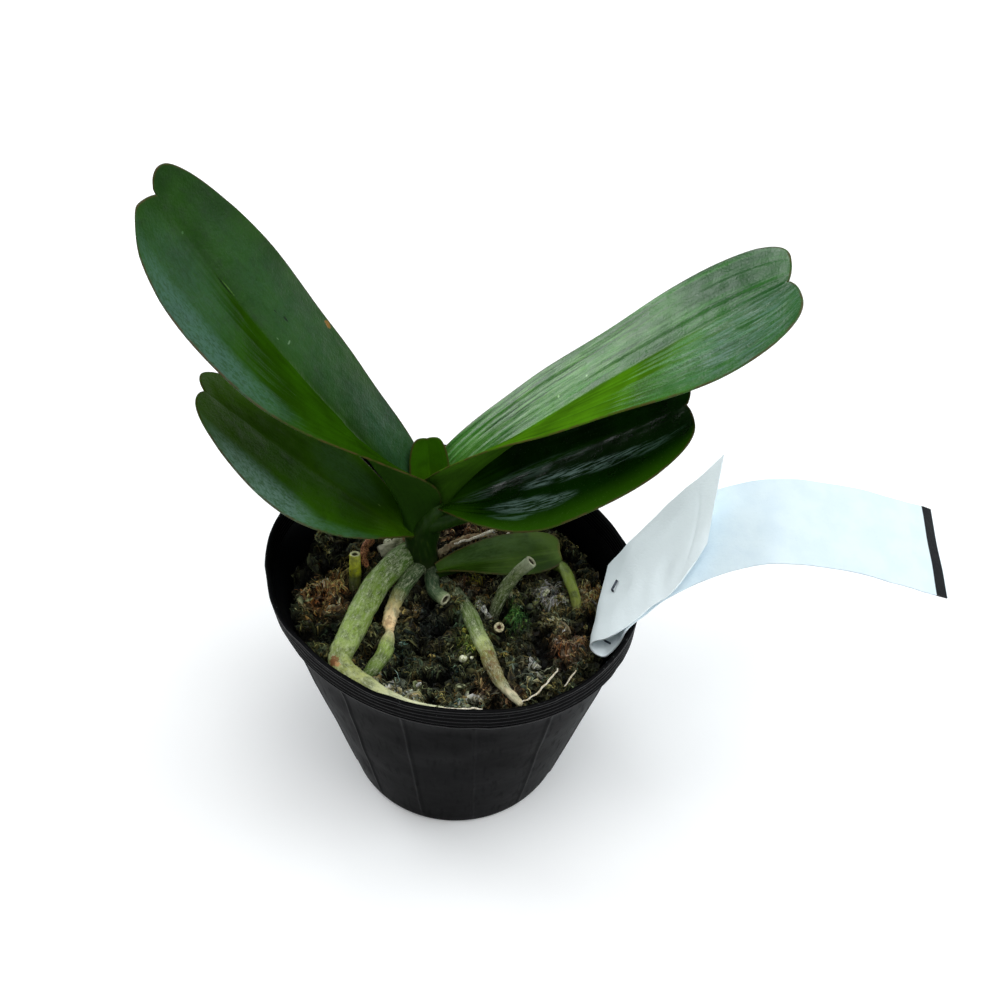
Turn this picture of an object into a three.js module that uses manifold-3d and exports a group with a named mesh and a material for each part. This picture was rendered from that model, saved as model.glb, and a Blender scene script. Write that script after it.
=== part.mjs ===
// A young orchid in a soft nursery pot: moss root ball, roots, stem, folded strap leaves and a paper label.
// Millimetres, +Z up. The origin is the middle of the pot's underside, which stands on Z = 0.

import * as THREE from 'three';
import { mergeVertices } from 'three/addons/utils/BufferGeometryUtils.js';
import Module from 'manifold-3d';

const wasm = await Module();
wasm.setup();

// Driving dimensions

const GAP = 0.3;
const POT = {
  height: 77,
  baseRadius: 30,
  rimLong: 49,
  rimShort: 41,
  rimTurn: -25,
  wall: 0.9,
  floor: 1.2,
  bandHeight: 8.5,
  bandStep: 1.4,
  bandTaper: 0.6,
  lip: 0.4,
  rimWaves: 7,
  rimWaveHeight: 0.25,
  footRounding: 1.4,
  ridges: 4,
  innerRidges: 3,
  ridgeStart: 0.8,
  innerRidgePitch: 2.4,
  ridgeRelief: 0.35,
  ribs: 14,
  ribStart: -132.6,
  ribRelief: 0.3,
  ribHalfAngle: 1,
  drainHoles: 5,
  drainRadius: 3,
  drainCircle: 19,
  drainSides: 16,
};
const MOSS = {
  edgeHeight: 63.6,
  dome: 3.6,
  domeRadius: 24,
  lumps: 110,
  lumpHeight: 1.5,
  lumpRadius: [2.2, 5],
  wallClearance: 0.45,
  shoulder: 61,
  edgeDrop: 0.8,
  bedMargin: 2.2,
  bedDepth: 0.35,
  sides: 52,
  rings: 13,
  seed: 4711,
};
const STEM_SIDES = 14;
const STEM_OVALNESS = 0.05;
const ROOT = {
  sides: 8,
  steps: 2,
  knobble: 0.05,
  endShare: 0.55,
  tipLength: 0.7,
  cutShare: 0.95,
  cutLength: 0.3,
  hollowShare: 0.45,
  hollowDepth: 0.7,
};
const LEAF = {
  edge: 0.6,
  coreAtFoot: 1.3,
  coreAtTip: 1,
  keel: 0.5,
  thinning: 1.5,
  rowBow: 1.6,
  tipSteps: 8,
  notchSteps: 4,
  columns: [-1, -0.78, -0.5, -0.22, 0, 0.22, 0.5, 0.78, 1],
  lineSteps: 100,
  lineOverrun: 1.25,
};
const LABEL_THICKNESS = 0.6;

// Each leaf starts at its foot with a heading and a rise in degrees, swings and droops along its length,
// and kicks up more steeply at the foot. Its two halves fold up along the midrib by an angle that fades
// towards the tip, and the tip ends in two unequal round lobes. Shares are of the length or half width.
const LEAVES = {
  leaf_upper_left: {
    foot: [-11.1, 10.4, 80.3], heading: 186.1, swing: -29.2, rise: 54.4, droop: -5.6, kick: 38, kickFade: 0.175,
    length: 112.3, halfWidth: 18.7, footWidth: 0.43, footLean: 0.19, flare: 0.87, shoulder: 0.6, tipWidth: 0.255,
    roundness: 1.63, rollFoot: -29, rollTip: 20.4, foldFoot: 85, foldTip: -2.9, foldFade: 0.3,
    lobeLeft: 0.001, lobeRight: 0.043, lean: -0.034, rows: 14,
  },
  leaf_upper_right: {
    foot: [-2, 13.1, 85.8], heading: 6.6, swing: -9.2, rise: 39.3, droop: -0.2, kick: 32, kickFade: 0.137,
    length: 107.4, halfWidth: 18.4, footWidth: 0.55, footLean: 0, flare: 1.2, shoulder: 0.8, tipWidth: 0.37,
    roundness: 1.94, rollFoot: 28, rollTip: -4.7, foldFoot: 64, foldTip: -3.8, foldFade: 0.349,
    lobeLeft: 0.019, lobeRight: 0.028, lean: 0.035, rows: 14,
  },
  leaf_lower_left: {
    foot: [-9.8, 9.2, 78.9], heading: 177.6, swing: -8.7, rise: 43.2, droop: -3.4, kick: 3, kickFade: 0.1,
    length: 66.5, halfWidth: 16.1, footWidth: 0.05, footLean: 0, flare: 0.92, shoulder: 0.6, tipWidth: 0.265,
    roundness: 1.89, rollFoot: 13.1, rollTip: -13.2, foldFoot: 53, foldTip: -2.3, foldFade: 0.155,
    lobeLeft: 0.032, lobeRight: 0.042, lean: -0.062, rows: 11,
  },
  leaf_lower_right: {
    foot: [-1.7, 12.2, 87.4], heading: -0.4, swing: 2.6, rise: 32, droop: 0.9, kick: 4, kickFade: 0.1,
    length: 67.9, halfWidth: 19.2, footWidth: 0.18, footLean: 0, flare: 0.9, shoulder: 0.49, tipWidth: 0.37,
    roundness: 2.07, rollFoot: -12.1, rollTip: -4, foldFoot: 55, foldTip: 3.6, foldFade: 0.129,
    lobeLeft: 0.037, lobeRight: 0.027, lean: 0.036, rows: 11,
  },
  leaf_centre: {
    foot: [-4.9, 14.5, 86], heading: 96.5, swing: 0.5, rise: 75.5, droop: 3.5, kick: 3, kickFade: 0.1,
    length: 19, halfWidth: 5.3, footWidth: 0.3, footLean: 0, flare: 1, shoulder: 0.48, tipWidth: 0.42,
    roundness: 2.14, rollFoot: 1.6, rollTip: -0.7, foldFoot: 52, foldTip: 15, foldFade: 0.25,
    lobeLeft: 0.028, lobeRight: 0.024, lean: 0, rows: 5,
  },
  leaf_basal: {
    foot: [-3.6, 5.6, 68.2], heading: 12.4, swing: -0.9, rise: 4, droop: 7.2, kick: 13.5, kickFade: 0.1,
    length: 32.6, halfWidth: 7.1, footWidth: 0.37, footLean: 0, flare: 1, shoulder: 0.61, tipWidth: 0.37,
    roundness: 2.06, rollFoot: 11.6, rollTip: -8.4, foldFoot: 50, foldTip: 6.3, foldFade: 0.337,
    lobeLeft: 0.012, lobeRight: 0.002, lean: 0.037, rows: 6,
  },
};

// Where the root ball has drawn back from the wall: middle and width in degrees about Z, and depth.
const MOSS_VOIDS = [
  { middle: -5, width: 24, depth: 4.2 },
  { middle: 45, width: 18, depth: 2.4 },
  { middle: 160, width: 22, depth: 1.2 },
];

// The stem from the root crown in the moss up to the fork of the leaves: centre, then half widths in X and Y.
const STEM = [
  [-6.6, 8.6, 57.5, 3, 3],
  [-6.8, 8.8, 61, 4, 3.9],
  [-7.2, 9.2, 65.5, 4.7, 4.5],
  [-7.8, 9.8, 68, 4.4, 4.2],
  [-8, 10.5, 71, 4.3, 4.2],
  [-7.8, 11.3, 75, 4.4, 4.1],
  [-7, 12.1, 79, 4.4, 3.8],
  [-5.4, 12.6, 83, 4.1, 3.5],
  [-3.9, 12.8, 86.5, 3, 2.8],
  [-2.9, 12.8, 89.5, 1.5, 1.5],
];

// The sheath under the lower right leaf, from the stem outwards: centre, then half widths in Y and Z.
const SHEATH = [
  [-5.5, 11.2, 81, 2.4, 3.2],
  [-1.6, 10.6, 83.4, 2.1, 2.8],
  [2, 10.4, 84.9, 1.5, 2.5],
  [5.2, 10.2, 85.9, 0.9, 2],
  [7.4, 10, 86.9, 0.4, 0.7],
];

// Roots as chosen points on their routes: X, Y, Z and radius. A bed in the moss carries the ones that lie on it.
const ROOTS = {
  root_thick: {
    bedded: true, cut: false,
    route: [
      [-9, 10, 69.5, 2.6], [-11.7, 9.2, 70.8, 3.3], [-16.6, 3.2, 71, 3.4], [-20.8, -4.3, 70.8, 3.4],
      [-23.2, -11.1, 70.5, 3.3], [-25.7, -17.8, 70, 3.2], [-27, -23.1, 69.5, 3], [-23.9, -26.8, 68.8, 2.8],
      [-20.6, -28.9, 68.4, 2.5], [-14.8, -32.1, 68.2, 2], [-8.4, -34.2, 68.4, 1.8], [0.5, -35.2, 68.6, 1.4],
      [5.5, -34.8, 68, 0.9],
    ],
  },
  root_pinched: {
    bedded: true, cut: false,
    route: [
      [-8, 7, 68.4, 1.8], [-9.5, 5.2, 69.4, 2.1], [-12.2, 0.3, 69.5, 2.1], [-14.3, -5.1, 69.4, 1.9],
      [-15.4, -11, 69, 1.7], [-15.2, -13.8, 69, 1.1], [-15.5, -16.4, 69, 1.8], [-16.4, -20.2, 68.6, 2],
      [-18.6, -23.2, 67.6, 1.8], [-21.2, -25.2, 65.6, 1.4],
    ],
  },
  root_front: {
    bedded: true, cut: false,
    route: [
      [-4.2, 7.4, 64.2, 1.8], [-0.6, 3.4, 64.6, 1.9], [3.6, -4.2, 66.6, 2], [7.2, -14, 67.8, 2.1],
      [9.3, -19.1, 68, 2], [11, -24.5, 67.8, 1.8], [13.5, -29.1, 67.5, 1.4], [17.4, -33.4, 66.8, 0.9],
    ],
  },
  root_stub_hollow: {
    bedded: false, cut: true,
    route: [
      [10.8, -3.8, 62.4, 1.5], [12, -2.6, 66, 1.6], [14.4, 0.2, 70, 1.7], [17.1, 1.2, 74, 1.6],
      [20.3, 2, 77.4, 1.6],
    ],
  },
  root_right: {
    bedded: false, cut: false,
    route: [
      [21.5, 12, 62.8, 1.2], [25.7, 9.8, 66.2, 1.4], [28.9, 7.1, 68.1, 1.5], [30.5, 2.6, 68.4, 1.5],
      [31.7, -0.8, 67, 1.4], [32.4, -3, 63.4, 1.2],
    ],
  },
  root_stub_centre: {
    bedded: true, cut: true,
    route: [
      [-5.4, 7, 67, 1.9], [-5.2, 3.4, 68.2, 2], [-4.3, -1, 68.9, 1.9], [-1.6, -3.8, 69.4, 1.8],
    ],
  },
  root_stub_upright: {
    bedded: false, cut: true,
    route: [[-25.3, 2.5, 61, 1.4], [-25.2, 4.4, 66.5, 1.6], [-25, 5.9, 71, 1.5], [-24.9, 6.9, 74, 1.4]],
  },
  root_back_left: {
    bedded: true, cut: true,
    route: [[-9.4, 13, 68.4, 1.6], [-12.6, 14.2, 69.2, 1.9], [-15.4, 13.4, 69.2, 1.8], [-18.8, 11.8, 68.8, 1.7]],
  },
  root_back_right: {
    bedded: true, cut: false,
    route: [[-3.4, 12.2, 67.4, 1.1], [0.5, 15.2, 67.8, 1.1], [5.6, 17.9, 67.6, 0.9], [11.5, 19.4, 66.4, 0.7]],
  },
};

// The label as pairs of points on its near and far edges, from the end of the flap to the fold in the pot,
// back out over the rim and along the long tail.
const LABEL = [
  [[62.9, -3.9, 92.5], [68.3, 18.4, 99.8]],
  [[59.5, -8.8, 90.5], [63.6, 15.4, 96.2]],
  [[54.2, -13.9, 86], [57.2, 12, 91.4]],
  [[49.6, -15.9, 83.2], [52.2, 9.2, 87.6]],
  [[44.4, -18.9, 79.8], [46.8, 6, 83]],
  [[39.1, -20.7, 76.4], [43.2, 4.4, 78.2]],
  [[35.6, -19.8, 73.6], [40.8, 3.9, 74.8]],
  [[34.7, -19.7, 71.6], [40.1, 3.9, 73.2]],
  [[35.8, -20.6, 69.8], [40.6, 4.1, 71.8]],
  [[38.2, -21.5, 69.4], [42, 4.3, 72.2]],
  [[41.2, -20.6, 73], [43.5, 4.5, 75]],
  [[43.4, -19.4, 78], [45, 4.9, 78.4]],
  [[47.8, -16.4, 79.9], [48.6, 7.6, 81.6]],
  [[53.3, -12.9, 82], [55, 11.8, 85.6]],
  [[63.1, -10.6, 87], [65.6, 14.4, 90.2]],
  [[73.1, -9.1, 90], [75.8, 15.9, 92.4]],
  [[82.8, -8.8, 90.5], [85.6, 16.4, 92.6]],
  [[97.2, -8.2, 87], [100.8, 16.6, 89.4]],
  [[110.2, -7.8, 81.5], [113.2, 17, 84.6]],
  [[125.7, -5.8, 72.5], [124.4, 18.6, 78]],
];
const LABEL_STEPS = 42;
const STAPLE_RADIUS = 0.3;
const STAPLE_SIDES = 6;
const STAPLE_BEND = 0.5;
const STAPLE = [
  [41.8, -4.4, 78.2], [40.4, -6.8, 77.2], [43.9, -6.8, 73.9], [40.9, -18.9, 70.6], [38.4, -18.6, 72.2],
  [37.6, -16.4, 71.8],
];

const COLOURS = {
  pot: 0x17181b,
  moss: 0x3a3a24,
  stem: 0x1f3d14,
  leaf: 0x17421a,
  youngLeaf: 0x2c5a12,
  root: 0x6f7d45,
  paper: 0xe6eef5,
  wire: 0x3c4046,
};

// Small tools for numbers, points and closed bodies

const radians = THREE.MathUtils.degToRad;
const mix = THREE.MathUtils.lerp;
const point = (values) => new THREE.Vector3(values[0], values[1], values[2]);

function seededRandom(seed) {
  let state = seed;
  return () => {
    state = (state + 0x6d2b79f5) | 0;
    let value = Math.imul(state ^ (state >>> 15), 1 | state);
    value = (value + Math.imul(value ^ (value >>> 7), 61 | value)) ^ value;
    return ((value ^ (value >>> 14)) >>> 0) / 4294967296;
  };
}

// Joins rings of one even point count into a closed body; the points run anticlockwise about the way it goes.
// Its end caps are ladders of triangles between the two halves of a ring.
function loft(rings) {
  const count = rings[0].length;
  const positions = [];
  for (const ring of rings) {
    for (const vertex of ring) {
      positions.push(vertex.x, vertex.y, vertex.z);
    }
  }
  const faces = [];
  for (let row = 0; row < rings.length - 1; row += 1) {
    for (let column = 0; column < count; column += 1) {
      const next = (column + 1) % count;
      const a = row * count + column;
      const b = row * count + next;
      faces.push(a, b, b + count, a, b + count, a + count);
    }
  }
  const addCap = (row, facesBack) => {
    for (let rung = 0; rung < count / 2 - 1; rung += 1) {
      const a = row * count + rung;
      const d = row * count + count - 1 - rung;
      const corners = [a, a + 1, d - 1, a, d - 1, d];
      faces.push(...(facesBack ? corners.reverse() : corners));
    }
  };
  addCap(0, true);
  addCap(rings.length - 1, false);
  const geometry = new THREE.BufferGeometry();
  geometry.setAttribute('position', new THREE.Float32BufferAttribute(positions, 3));
  geometry.setIndex(faces);
  return geometry;
}

function toSolid(geometry) {
  const bare = geometry.clone();
  bare.deleteAttribute('normal');
  bare.deleteAttribute('uv');
  const merged = mergeVertices(bare, 1e-5);
  const mesh = new wasm.Mesh({
    numProp: 3,
    vertProperties: new Float32Array(merged.attributes.position.array),
    triVerts: new Uint32Array(merged.index.array),
  });
  return new wasm.Manifold(mesh);
}

function toGeometry(solid) {
  const mesh = solid.getMesh();
  const geometry = new THREE.BufferGeometry();
  geometry.setAttribute('position', new THREE.Float32BufferAttribute(mesh.vertProperties, 3));
  geometry.setIndex(Array.from(mesh.triVerts));
  return geometry;
}

// Takes the cutters out of a body and keeps its largest piece.
function carve(body, cutters) {
  let left = body;
  for (const cutter of cutters) {
    left = left.subtract(cutter);
  }
  const pieces = left.decompose();
  return pieces.reduce((best, piece) => (piece.volume() > best.volume() ? piece : best));
}

// Pot

// Radius of an oval with the pot rim's turn, for the half axes long and short.
function ovalRadius(angle, long, short) {
  const local = angle - radians(POT.rimTurn);
  return (long * short) / Math.hypot(short * Math.cos(local), long * Math.sin(local));
}

const BAND_BOTTOM = POT.height - POT.bandHeight;

function bodyRadius(angle, z) {
  const inset = POT.bandTaper + POT.bandStep;
  const atBand = ovalRadius(angle, POT.rimLong - inset, POT.rimShort - inset);
  return mix(POT.baseRadius, atBand, z / BAND_BOTTOM);
}

function bandRadius(angle, z) {
  const below = (POT.height - z) / POT.bandHeight;
  const wave = POT.rimWaveHeight * Math.cos(POT.rimWaves * angle + 1) * (1 - below);
  const inset = POT.bandTaper * below;
  return ovalRadius(angle, POT.rimLong - inset, POT.rimShort - inset) + wave;
}

function potAngles() {
  const step = 360 / POT.ribs;
  const offsets = [-POT.ribHalfAngle, 0, POT.ribHalfAngle, step / 2];
  const angles = [];
  for (let rib = 0; rib < POT.ribs; rib += 1) {
    for (const offset of offsets) {
      angles.push({ angle: radians(POT.ribStart + rib * step + offset), onRib: offset === 0 });
    }
  }
  return angles;
}

function potGeometry(grow) {
  const angles = potAngles();
  const ring = (z, radiusAt) =>
    angles.map(({ angle, onRib }) => {
      const radius = radiusAt(angle, onRib);
      return new THREE.Vector3(radius * Math.cos(angle), radius * Math.sin(angle), z);
    });
  const rings = [];
  const outside = grow;
  const inside = -POT.wall - grow;
  const foot = POT.footRounding;
  rings.push(ring(-grow, () => POT.baseRadius - 2 * foot));
  rings.push(ring(-grow, () => POT.baseRadius - foot + outside));
  rings.push(ring(foot, (angle) => bodyRadius(angle, foot) + outside));
  for (const z of [2 * foot, BAND_BOTTOM / 2, BAND_BOTTOM - 1]) {
    rings.push(ring(z, (angle, onRib) => bodyRadius(angle, z) + outside + (onRib ? POT.ribRelief : 0)));
  }
  const underBand = BAND_BOTTOM - grow;
  rings.push(ring(underBand - POT.lip, (angle) => bodyRadius(angle, BAND_BOTTOM) + outside));
  rings.push(ring(underBand, (angle) => bandRadius(angle, BAND_BOTTOM) + outside));
  const pitch = (POT.bandHeight - 2 * POT.ridgeStart) / POT.ridges;
  for (let ridge = 0; ridge < POT.ridges; ridge += 1) {
    const low = BAND_BOTTOM + POT.ridgeStart + ridge * pitch;
    const crest = low + pitch / 2;
    rings.push(ring(low, (angle) => bandRadius(angle, low) + outside - POT.ridgeRelief));
    rings.push(ring(crest, (angle) => bandRadius(angle, crest) + outside));
  }
  const top = POT.height + grow;
  rings.push(ring(top - POT.lip, (angle) => bandRadius(angle, POT.height) + outside));
  rings.push(ring(top, (angle) => bandRadius(angle, POT.height) + outside - POT.lip / 2));
  rings.push(ring(top, (angle) => bandRadius(angle, POT.height) + inside + POT.lip / 4));
  for (let ridge = POT.innerRidges - 1; ridge >= 0; ridge -= 1) {
    const crest = BAND_BOTTOM + POT.ridgeStart + ridge * POT.innerRidgePitch;
    const high = crest + 2 * POT.lip;
    rings.push(ring(high, (angle) => bandRadius(angle, high) + inside));
    rings.push(ring(crest, (angle) => bandRadius(angle, crest) + inside - POT.ridgeRelief));
  }
  rings.push(ring(BAND_BOTTOM - foot, (angle) => bodyRadius(angle, BAND_BOTTOM) + inside));
  rings.push(ring(2 * foot, (angle) => bodyRadius(angle, 2 * foot) + inside));
  rings.push(ring(POT.floor + grow, () => POT.baseRadius - foot + inside));
  return loft(rings);
}

function drainHole(index) {
  const angle = (index / POT.drainHoles) * Math.PI * 2;
  const hole = new THREE.CylinderGeometry(POT.drainRadius, POT.drainRadius, POT.floor * 4, POT.drainSides);
  hole.rotateX(Math.PI / 2);
  hole.translate(POT.drainCircle * Math.cos(angle), POT.drainCircle * Math.sin(angle), 0);
  return toSolid(hole);
}

function makePot() {
  const holes = Array.from({ length: POT.drainHoles }, (_, index) => drainHole(index));
  return carve(toSolid(potGeometry(0)), holes);
}

// Stem

function stemGeometry(grow) {
  const rings = STEM.map(([x, y, z, halfX, halfY], row) => {
    const last = row === STEM.length - 1;
    const lift = row === 0 ? -grow : last ? grow : 0;
    return Array.from({ length: STEM_SIDES }, (_, side) => {
      const angle = (side / STEM_SIDES) * Math.PI * 2;
      const reach = 1 + STEM_OVALNESS * Math.cos(2 * angle + row);
      return new THREE.Vector3(
        x + (halfX * reach + grow) * Math.cos(angle),
        y + (halfY * reach + grow) * Math.sin(angle),
        z + lift,
      );
    });
  });
  return loft(rings);
}

function sheathGeometry(grow) {
  const rings = SHEATH.map(([x, y, z, halfY, halfZ], row) => {
    const lift = row === SHEATH.length - 1 ? grow : 0;
    return Array.from({ length: STEM_SIDES }, (_, side) => {
      const angle = (side / STEM_SIDES) * Math.PI * 2;
      return new THREE.Vector3(
        x + lift,
        y + (halfY + grow) * Math.cos(angle),
        z + (halfZ + grow) * Math.sin(angle),
      );
    });
  });
  return loft(rings);
}

function makeStem(grow) {
  return toSolid(stemGeometry(grow)).add(toSolid(sheathGeometry(grow)));
}

// Roots

function radiusAlong(route, share) {
  const at = share * (route.length - 1);
  const index = Math.min(Math.floor(at), route.length - 2);
  return mix(route[index][3], route[index + 1][3], at - index);
}

function rootGeometry(root, grow) {
  const { route, cut } = root;
  const curve = new THREE.CatmullRomCurve3(route.map(point));
  const steps = (route.length - 1) * ROOT.steps;
  const frames = tubeFrames(curve, steps);
  const ring = (frame, radius, shift) =>
    Array.from({ length: ROOT.sides }, (_, side) => {
      const angle = (side / ROOT.sides) * Math.PI * 2;
      return frame.centre
        .clone()
        .addScaledVector(frame.normal, radius * Math.cos(angle))
        .addScaledVector(frame.binormal, radius * Math.sin(angle))
        .addScaledVector(frame.tangent, shift);
    });
  const rings = frames.map((frame, index) => {
    const radius = radiusAlong(route, index / steps);
    const knobble = 1 + ROOT.knobble * Math.sin(index * 2.1);
    return ring(frame, radius * knobble + grow, 0);
  });
  const first = frames[0];
  const last = frames[steps];
  const firstRadius = route[0][3];
  const lastRadius = route[route.length - 1][3];
  const shrunk = (radius) => (radius + grow) * ROOT.endShare;
  rings.unshift(ring(first, shrunk(firstRadius), -firstRadius * ROOT.tipLength - grow));
  if (cut) {
    rings.push(ring(last, lastRadius * ROOT.cutShare + grow, ROOT.cutLength + grow));
    if (grow === 0) {
      rings.push(ring(last, lastRadius * ROOT.endShare, ROOT.cutLength));
      rings.push(ring(last, lastRadius * ROOT.hollowShare, -ROOT.hollowDepth));
    }
  } else {
    rings.push(ring(last, shrunk(lastRadius), lastRadius * ROOT.tipLength + grow));
  }
  return loft(rings);
}

// Frames that turn as little as they can along a curve, evenly spaced in its control points.
function tubeFrames(curve, steps) {
  const frames = [];
  let normal = new THREE.Vector3(0, 0, 1);
  for (let index = 0; index <= steps; index += 1) {
    const tangent = curve.getTangent(index / steps).normalize();
    if (Math.abs(normal.dot(tangent)) > 0.95) {
      normal = new THREE.Vector3(1, 0, 0);
    }
    normal = normal.clone().addScaledVector(tangent, -normal.dot(tangent)).normalize();
    const binormal = tangent.clone().cross(normal);
    frames.push({ centre: curve.getPoint(index / steps), tangent, normal, binormal });
  }
  return frames;
}

// Moss

const random = seededRandom(MOSS.seed);
const lumps = Array.from({ length: MOSS.lumps }, () => {
  const angle = random() * Math.PI * 2;
  const reach = Math.sqrt(random()) * POT.rimShort;
  return {
    x: reach * Math.cos(angle),
    y: reach * Math.sin(angle),
    radius: mix(...MOSS.lumpRadius, random()),
    height: MOSS.lumpHeight * mix(-1, 1.3, random()),
  };
});

const beds = Object.values(ROOTS)
  .filter((root) => root.bedded)
  .flatMap((root) => {
    const curve = new THREE.CatmullRomCurve3(root.route.map(point));
    const steps = (root.route.length - 1) * ROOT.steps;
    return Array.from({ length: steps + 1 }, (_, index) => ({
      centre: curve.getPoint(index / steps),
      radius: radiusAlong(root.route, index / steps),
    }));
  });

function mossHeight(x, y) {
  const fromCrown = Math.hypot(x - STEM[2][0], y - STEM[2][1]) / MOSS.domeRadius;
  let height = MOSS.edgeHeight + MOSS.dome * Math.exp(-(fromCrown ** 2));
  for (const lump of lumps) {
    const distance = Math.hypot(x - lump.x, y - lump.y) / lump.radius;
    height += lump.height * Math.exp(-(distance ** 2));
  }
  let pull = 0;
  let bedHeight = height;
  for (const { centre, radius } of beds) {
    const distance = Math.hypot(x - centre.x, y - centre.y) / (radius + MOSS.bedMargin);
    const weight = Math.exp(-(distance ** 2));
    if (weight > pull) {
      pull = weight;
      bedHeight = centre.z - radius * MOSS.bedDepth;
    }
  }
  return mix(height, bedHeight, pull);
}

function mossVoid(angle) {
  const degrees = THREE.MathUtils.radToDeg(Math.atan2(Math.sin(angle), Math.cos(angle)));
  return MOSS_VOIDS.reduce((sum, { middle, width, depth }) => {
    const away = (degrees - middle) / width;
    return sum + depth * Math.exp(-(away ** 2));
  }, 0);
}

function mossGeometry() {
  const { sides, shoulder } = MOSS;
  const angles = Array.from({ length: sides }, (_, side) => (side / sides) * Math.PI * 2);
  const wallRadius = (angle, z) => bodyRadius(angle, z) - POT.wall - MOSS.wallClearance;
  const wallRing = (z, drawnBack, inset) =>
    angles.map((angle) => {
      const radius = wallRadius(angle, z) - inset - mossVoid(angle) * drawnBack;
      return new THREE.Vector3(radius * Math.cos(angle), radius * Math.sin(angle), z);
    });
  const rings = [
    wallRing(POT.floor + GAP, 0, 2 * POT.footRounding),
    wallRing(3 * POT.footRounding, 0, 0),
    wallRing(shoulder * 0.72, 0, 0),
    wallRing(shoulder * 0.85, 1, 0),
    wallRing(shoulder, 1, 0),
  ];
  for (let row = 0; row < MOSS.rings; row += 1) {
    const share = 1 - row / (MOSS.rings - 0.6);
    const drop = row === 0 ? MOSS.edgeDrop : 0;
    rings.push(
      angles.map((angle) => {
        const radius = (wallRadius(angle, shoulder) - mossVoid(angle)) * share;
        const x = radius * Math.cos(angle);
        const y = radius * Math.sin(angle);
        return new THREE.Vector3(x, y, mossHeight(x, y) - drop);
      }),
    );
  }
  return loft(rings);
}

// Leaves

function leafLine(leaf) {
  const perLength = LEAF.lineSteps;
  const places = [point(leaf.foot)];
  const directions = [];
  const headings = [];
  for (let index = 0; index <= perLength * LEAF.lineOverrun; index += 1) {
    const share = Math.min(index / perLength, 1);
    const heading = radians(leaf.heading + leaf.swing * share);
    const rise = radians(leaf.rise - leaf.droop * share + leaf.kick * Math.exp(-share / leaf.kickFade));
    const level = Math.cos(rise);
    directions.push(new THREE.Vector3(level * Math.cos(heading), level * Math.sin(heading), Math.sin(rise)));
    headings.push(heading);
    if (index > 0) {
      const between = directions[index].clone().add(directions[index - 1]);
      places.push(places[index - 1].clone().addScaledVector(between, leaf.length / perLength / 2));
    }
  }
  return (share) => {
    const at = THREE.MathUtils.clamp(share * perLength, 0, places.length - 1.001);
    const index = Math.floor(at);
    const part = at - index;
    return {
      place: places[index].clone().lerp(places[index + 1], part),
      direction: directions[index].clone().lerp(directions[index + 1], part).normalize(),
      heading: mix(headings[index], headings[index + 1], part),
    };
  };
}

// Rows along one half of a leaf: the share at the edge, the width there and the share at the midrib.
function leafRows(leaf, side) {
  const width = leaf.halfWidth * (1 + side * leaf.lean);
  const footWidth = leaf.footWidth * (1 + side * leaf.footLean);
  const reach = 1 + (side > 0 ? leaf.lobeRight : leaf.lobeLeft);
  const rows = [];
  for (let index = 0; index < leaf.rows; index += 1) {
    const along = index / leaf.rows;
    const spread = Math.sin((Math.PI / 2) * along) ** leaf.flare;
    const share = leaf.shoulder * along;
    rows.push({ edge: share, width: width * mix(footWidth, 1, spread), rib: share });
  }
  const tip = [];
  const bend = 2 / leaf.roundness;
  for (let index = 0; index <= LEAF.tipSteps; index += 1) {
    const turn = ((Math.PI / 2) * index) / LEAF.tipSteps;
    tip.push({
      edge: leaf.shoulder + (reach - leaf.shoulder) * Math.sin(turn) ** bend,
      width: width * mix(leaf.tipWidth, 1, Math.max(Math.cos(turn), 0) ** bend),
    });
  }
  for (let index = 0; index < LEAF.notchSteps; index += 1) {
    const turn = (Math.PI / 2) * (1 + (index + 0.9) / (LEAF.notchSteps + 0.1));
    tip.push({
      edge: 1 + (reach - 1) * Math.sin(turn),
      width: width * leaf.tipWidth * (1 + Math.cos(turn)),
    });
  }
  tip.forEach((row, index) => {
    rows.push({ ...row, rib: mix(leaf.shoulder, 1, index / tip.length) });
  });
  return rows;
}

// Each row of a leaf as points across its upper face and the points of its lower face under them.
function leafSections(leaf) {
  const lineAt = leafLine(leaf);
  const halves = { left: leafRows(leaf, -1), right: leafRows(leaf, 1) };
  return halves.left.map((_, index) => {
    const upper = [];
    const lower = [];
    for (const column of LEAF.columns) {
      const side = column < 0 ? -1 : 1;
      const out = Math.abs(column);
      const row = (column < 0 ? halves.left : halves.right)[index];
      const share = mix(row.rib, row.edge, out ** LEAF.rowBow);
      const { place, direction, heading } = lineAt(share);
      const across = new THREE.Vector3(Math.sin(heading), -Math.cos(heading), 0);
      const up = across.clone().cross(direction);
      const roll = radians(mix(leaf.rollFoot, leaf.rollTip, share));
      const sideways = across.clone().multiplyScalar(Math.cos(roll)).addScaledVector(up, Math.sin(roll));
      const outward = up.clone().multiplyScalar(Math.cos(roll)).addScaledVector(across, -Math.sin(roll));
      const fold = radians(leaf.foldTip + (leaf.foldFoot - leaf.foldTip) * Math.exp(-share / leaf.foldFade));
      const wing = sideways.clone().multiplyScalar(side * Math.cos(fold));
      wing.addScaledVector(outward, Math.sin(fold));
      const face = outward.clone();
      if (column !== 0) {
        face.multiplyScalar(Math.cos(fold)).addScaledVector(sideways, -side * Math.sin(fold));
      }
      const core = mix(LEAF.coreAtFoot, LEAF.coreAtTip, Math.min(share, 1));
      const keel = column === 0 ? LEAF.keel * (1 - Math.min(share, 1)) : 0;
      const thickness = mix(core, LEAF.edge, out ** LEAF.thinning) + keel;
      const spot = place.clone().addScaledVector(wing, out * row.width);
      upper.push(spot);
      lower.push(spot.clone().addScaledVector(face, -thickness));
    }
    return { upper, lower };
  });
}

function leafSolid(leaf) {
  return toSolid(loft(leafSections(leaf).map(({ upper, lower }) => [...upper, ...lower.reverse()])));
}

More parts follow.
